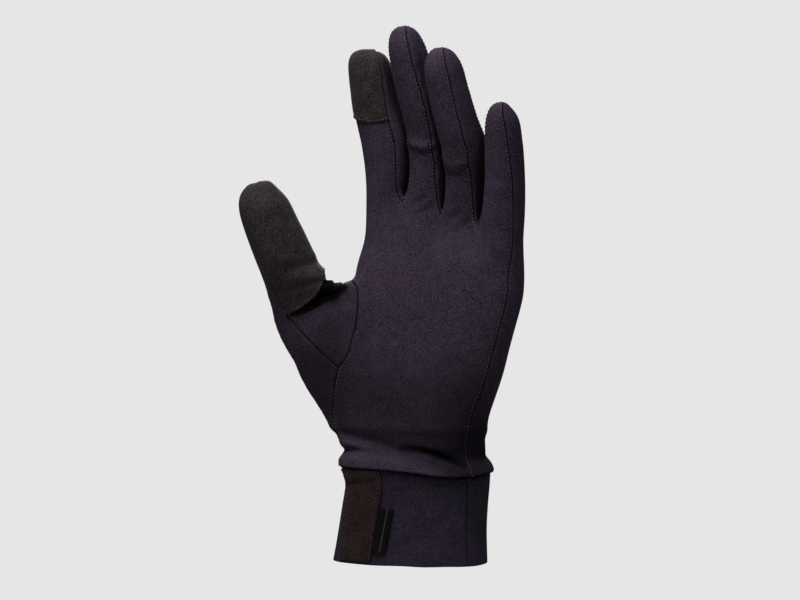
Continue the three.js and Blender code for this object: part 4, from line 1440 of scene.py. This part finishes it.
@dataclass
class Studio:
    """A pale studio: a wide pale room, a large soft key light from the left, and the camera."""

    paper: str = "e6e6e6"
    room_light: float = 0.22  # the share of the walls' brightness that reaches the glove
    floor_height: float = -0.6
    floor_radius: float = 0.6
    lens: float = 105.0

    def build(self) -> None:
        """Builds the floor, the lights, the room and the camera."""
        self.lay_floor()
        self.light("key", (-0.02, -0.29, 0.67), 0.3, 4.9)
        self.light("back", (-0.3, 0.85, 0.55), 0.6, 16.0)
        self.light("floor", (0.0, 0.0, -0.1), 1.2, 5.0, Vector((0, 0, self.floor_height)))
        self.close_room()
        self.stand_camera()
        bpy.context.scene.view_settings.view_transform = "Standard"
        LOG.info("studio: floor, lights, room and camera")

    def close_room(self) -> None:
        """Puts the pale room round the glove, which lights it less than it looks."""
        room = bpy.data.worlds.new("pale_room")
        room.use_nodes = True
        seen = add_node(room.node_tree, "ShaderNodeLightPath", output="Is Camera Ray")
        walls = {"Value": seen, "To Min": self.room_light, "To Max": 1.0}
        strength = add_node(room.node_tree, "ShaderNodeMapRange", walls)
        background = room.node_tree.nodes["Background"]
        background.inputs["Color"].default_value = linear(self.paper)
        room.node_tree.links.new(strength, background.inputs["Strength"])
        bpy.context.scene.world = room

    def stand_camera(self) -> None:
        """Stands the camera at the viewer's eye."""
        data = bpy.data.cameras.new("camera")
        data.lens = self.lens
        camera = add_object("camera", data)
        camera.location = EYE
        camera.rotation_euler = (-TO_VIEWER).to_track_quat("-Z", "Y").to_euler()
        bpy.context.scene.camera = camera

    def lay_floor(self) -> None:
        """Lays a plain pale floor, well below the glove."""
        sheet = bmesh.new()
        place = Matrix.Translation((0, 0, self.floor_height))
        bmesh.ops.create_circle(sheet, cap_ends=True, segments=96, radius=self.floor_radius, matrix=place)
        mesh = bpy.data.meshes.new("floor")
        sheet.to_mesh(mesh)
        sheet.free()
        # Matt paper gives the eye an even pale ground without shine.
        paper = bpy.data.materials.new("pale_paper")
        paper.use_nodes = True
        shader = paper.node_tree.nodes["Principled BSDF"]
        shader.inputs["Base Color"].default_value = linear(self.paper)
        shader.inputs["Roughness"].default_value = 1.0
        shader.inputs["Specular IOR Level"].default_value = 0.0
        mesh.materials.append(paper)
        floor = add_object("floor", mesh)

    def light(self, name: str, place: tuple, size: float, power: float, target: Vector = AIM) -> None:
        """Adds a square soft light.

        Args:
            name: Its name.
            place: Where it stands, in metres.
            size: Its width.
            power: Its power in watts.
            target: What it looks at.
        """
        data = bpy.data.lights.new(name, "AREA")
        data.size = size
        data.energy = power
        lamp = add_object(name, data)
        lamp.location = place
        lamp.rotation_euler = (target - Vector(place)).to_track_quat("-Z", "Y").to_euler()
        lamp.visible_camera = False


INDEX_EDGE = [
    (-26.0, 205.5), (-24.0, 203.4), (-22.7, 202.1), (-17.5, 201.1), (-11.5, 201.8), (-9.2, 202.8),
    (-8.0, 204.1),
]
THUMB_EDGE = [
    (-58.0, 113.1), (-54.8, 114.0), (-49.7, 116.0), (-45.1, 119.5), (-42.3, 122.3), (-40.5, 124.6),
    (-39.1, 126.9), (-38.4, 129.2), (-38.7, 134.0),
]
INDEX_PATCH = TouchPatch("index_touch_patch", Panel.PALM, INDEX_EDGE)
THUMB_PATCH = TouchPatch("thumb_touch_patch", Panel.THUMB, THUMB_EDGE, THUMB_PATCH_FOLDS)
# Where the strip's two rows start and end.
STRIP_ROWS = [((-28.4, 34.0), (-29.6, 0.0)), ((-14.4, 34.0), (-18.0, 0.0))]
KNIT_THREAD = Thread("knit_thread", "3a3341", "554b5c")
PATCH_THREAD = Thread("patch_thread", "3f3a3e", "5d575b")
STRIP_THREAD = Thread("strip_thread", "2c2325", "3d3133")


def sew(hand: Hand, cuff: Cuff) -> None:
    """Lays the rows of stitches on the seams, the patches and the strip.

    Args:
        hand: The hand.
        cuff: The cuff.
    """
    rows = Stitches("seam_stitches", Panel.PALM.value, KNIT_THREAD, pitch=1.8 * MM, radius=0.16 * MM)
    for seam in hand.seams:
        if Panel.THUMB not in seam.panels:
            rows.along(seam.points, hand.surface)
    rows.build()
    rows = Stitches("patch_stitches", INDEX_PATCH.node, PATCH_THREAD, pitch=1.75 * MM)
    INDEX_PATCH.stitch_row(rows, 0.5 * MM)
    THUMB_PATCH.stitch_row(rows)
    rows.build()
    rows = Stitches("strip_stitches", "cuff_grip_strip", STRIP_THREAD)
    for top, end in STRIP_ROWS:
        rows.seen([Vector(top) * MM, Vector(end) * MM], cuff.surface)
    rows.build()


def main() -> None:
    """Builds the dressed glove liner and its studio."""
    logging.basicConfig(level=logging.INFO, format="%(name)s %(message)s")
    hand = Hand().build()
    for patch in (INDEX_PATCH, THUMB_PATCH):
        patch.build(hand)
    sew(hand, Cuff().build())
    Studio().build()


if __name__ == "__main__":
    main()
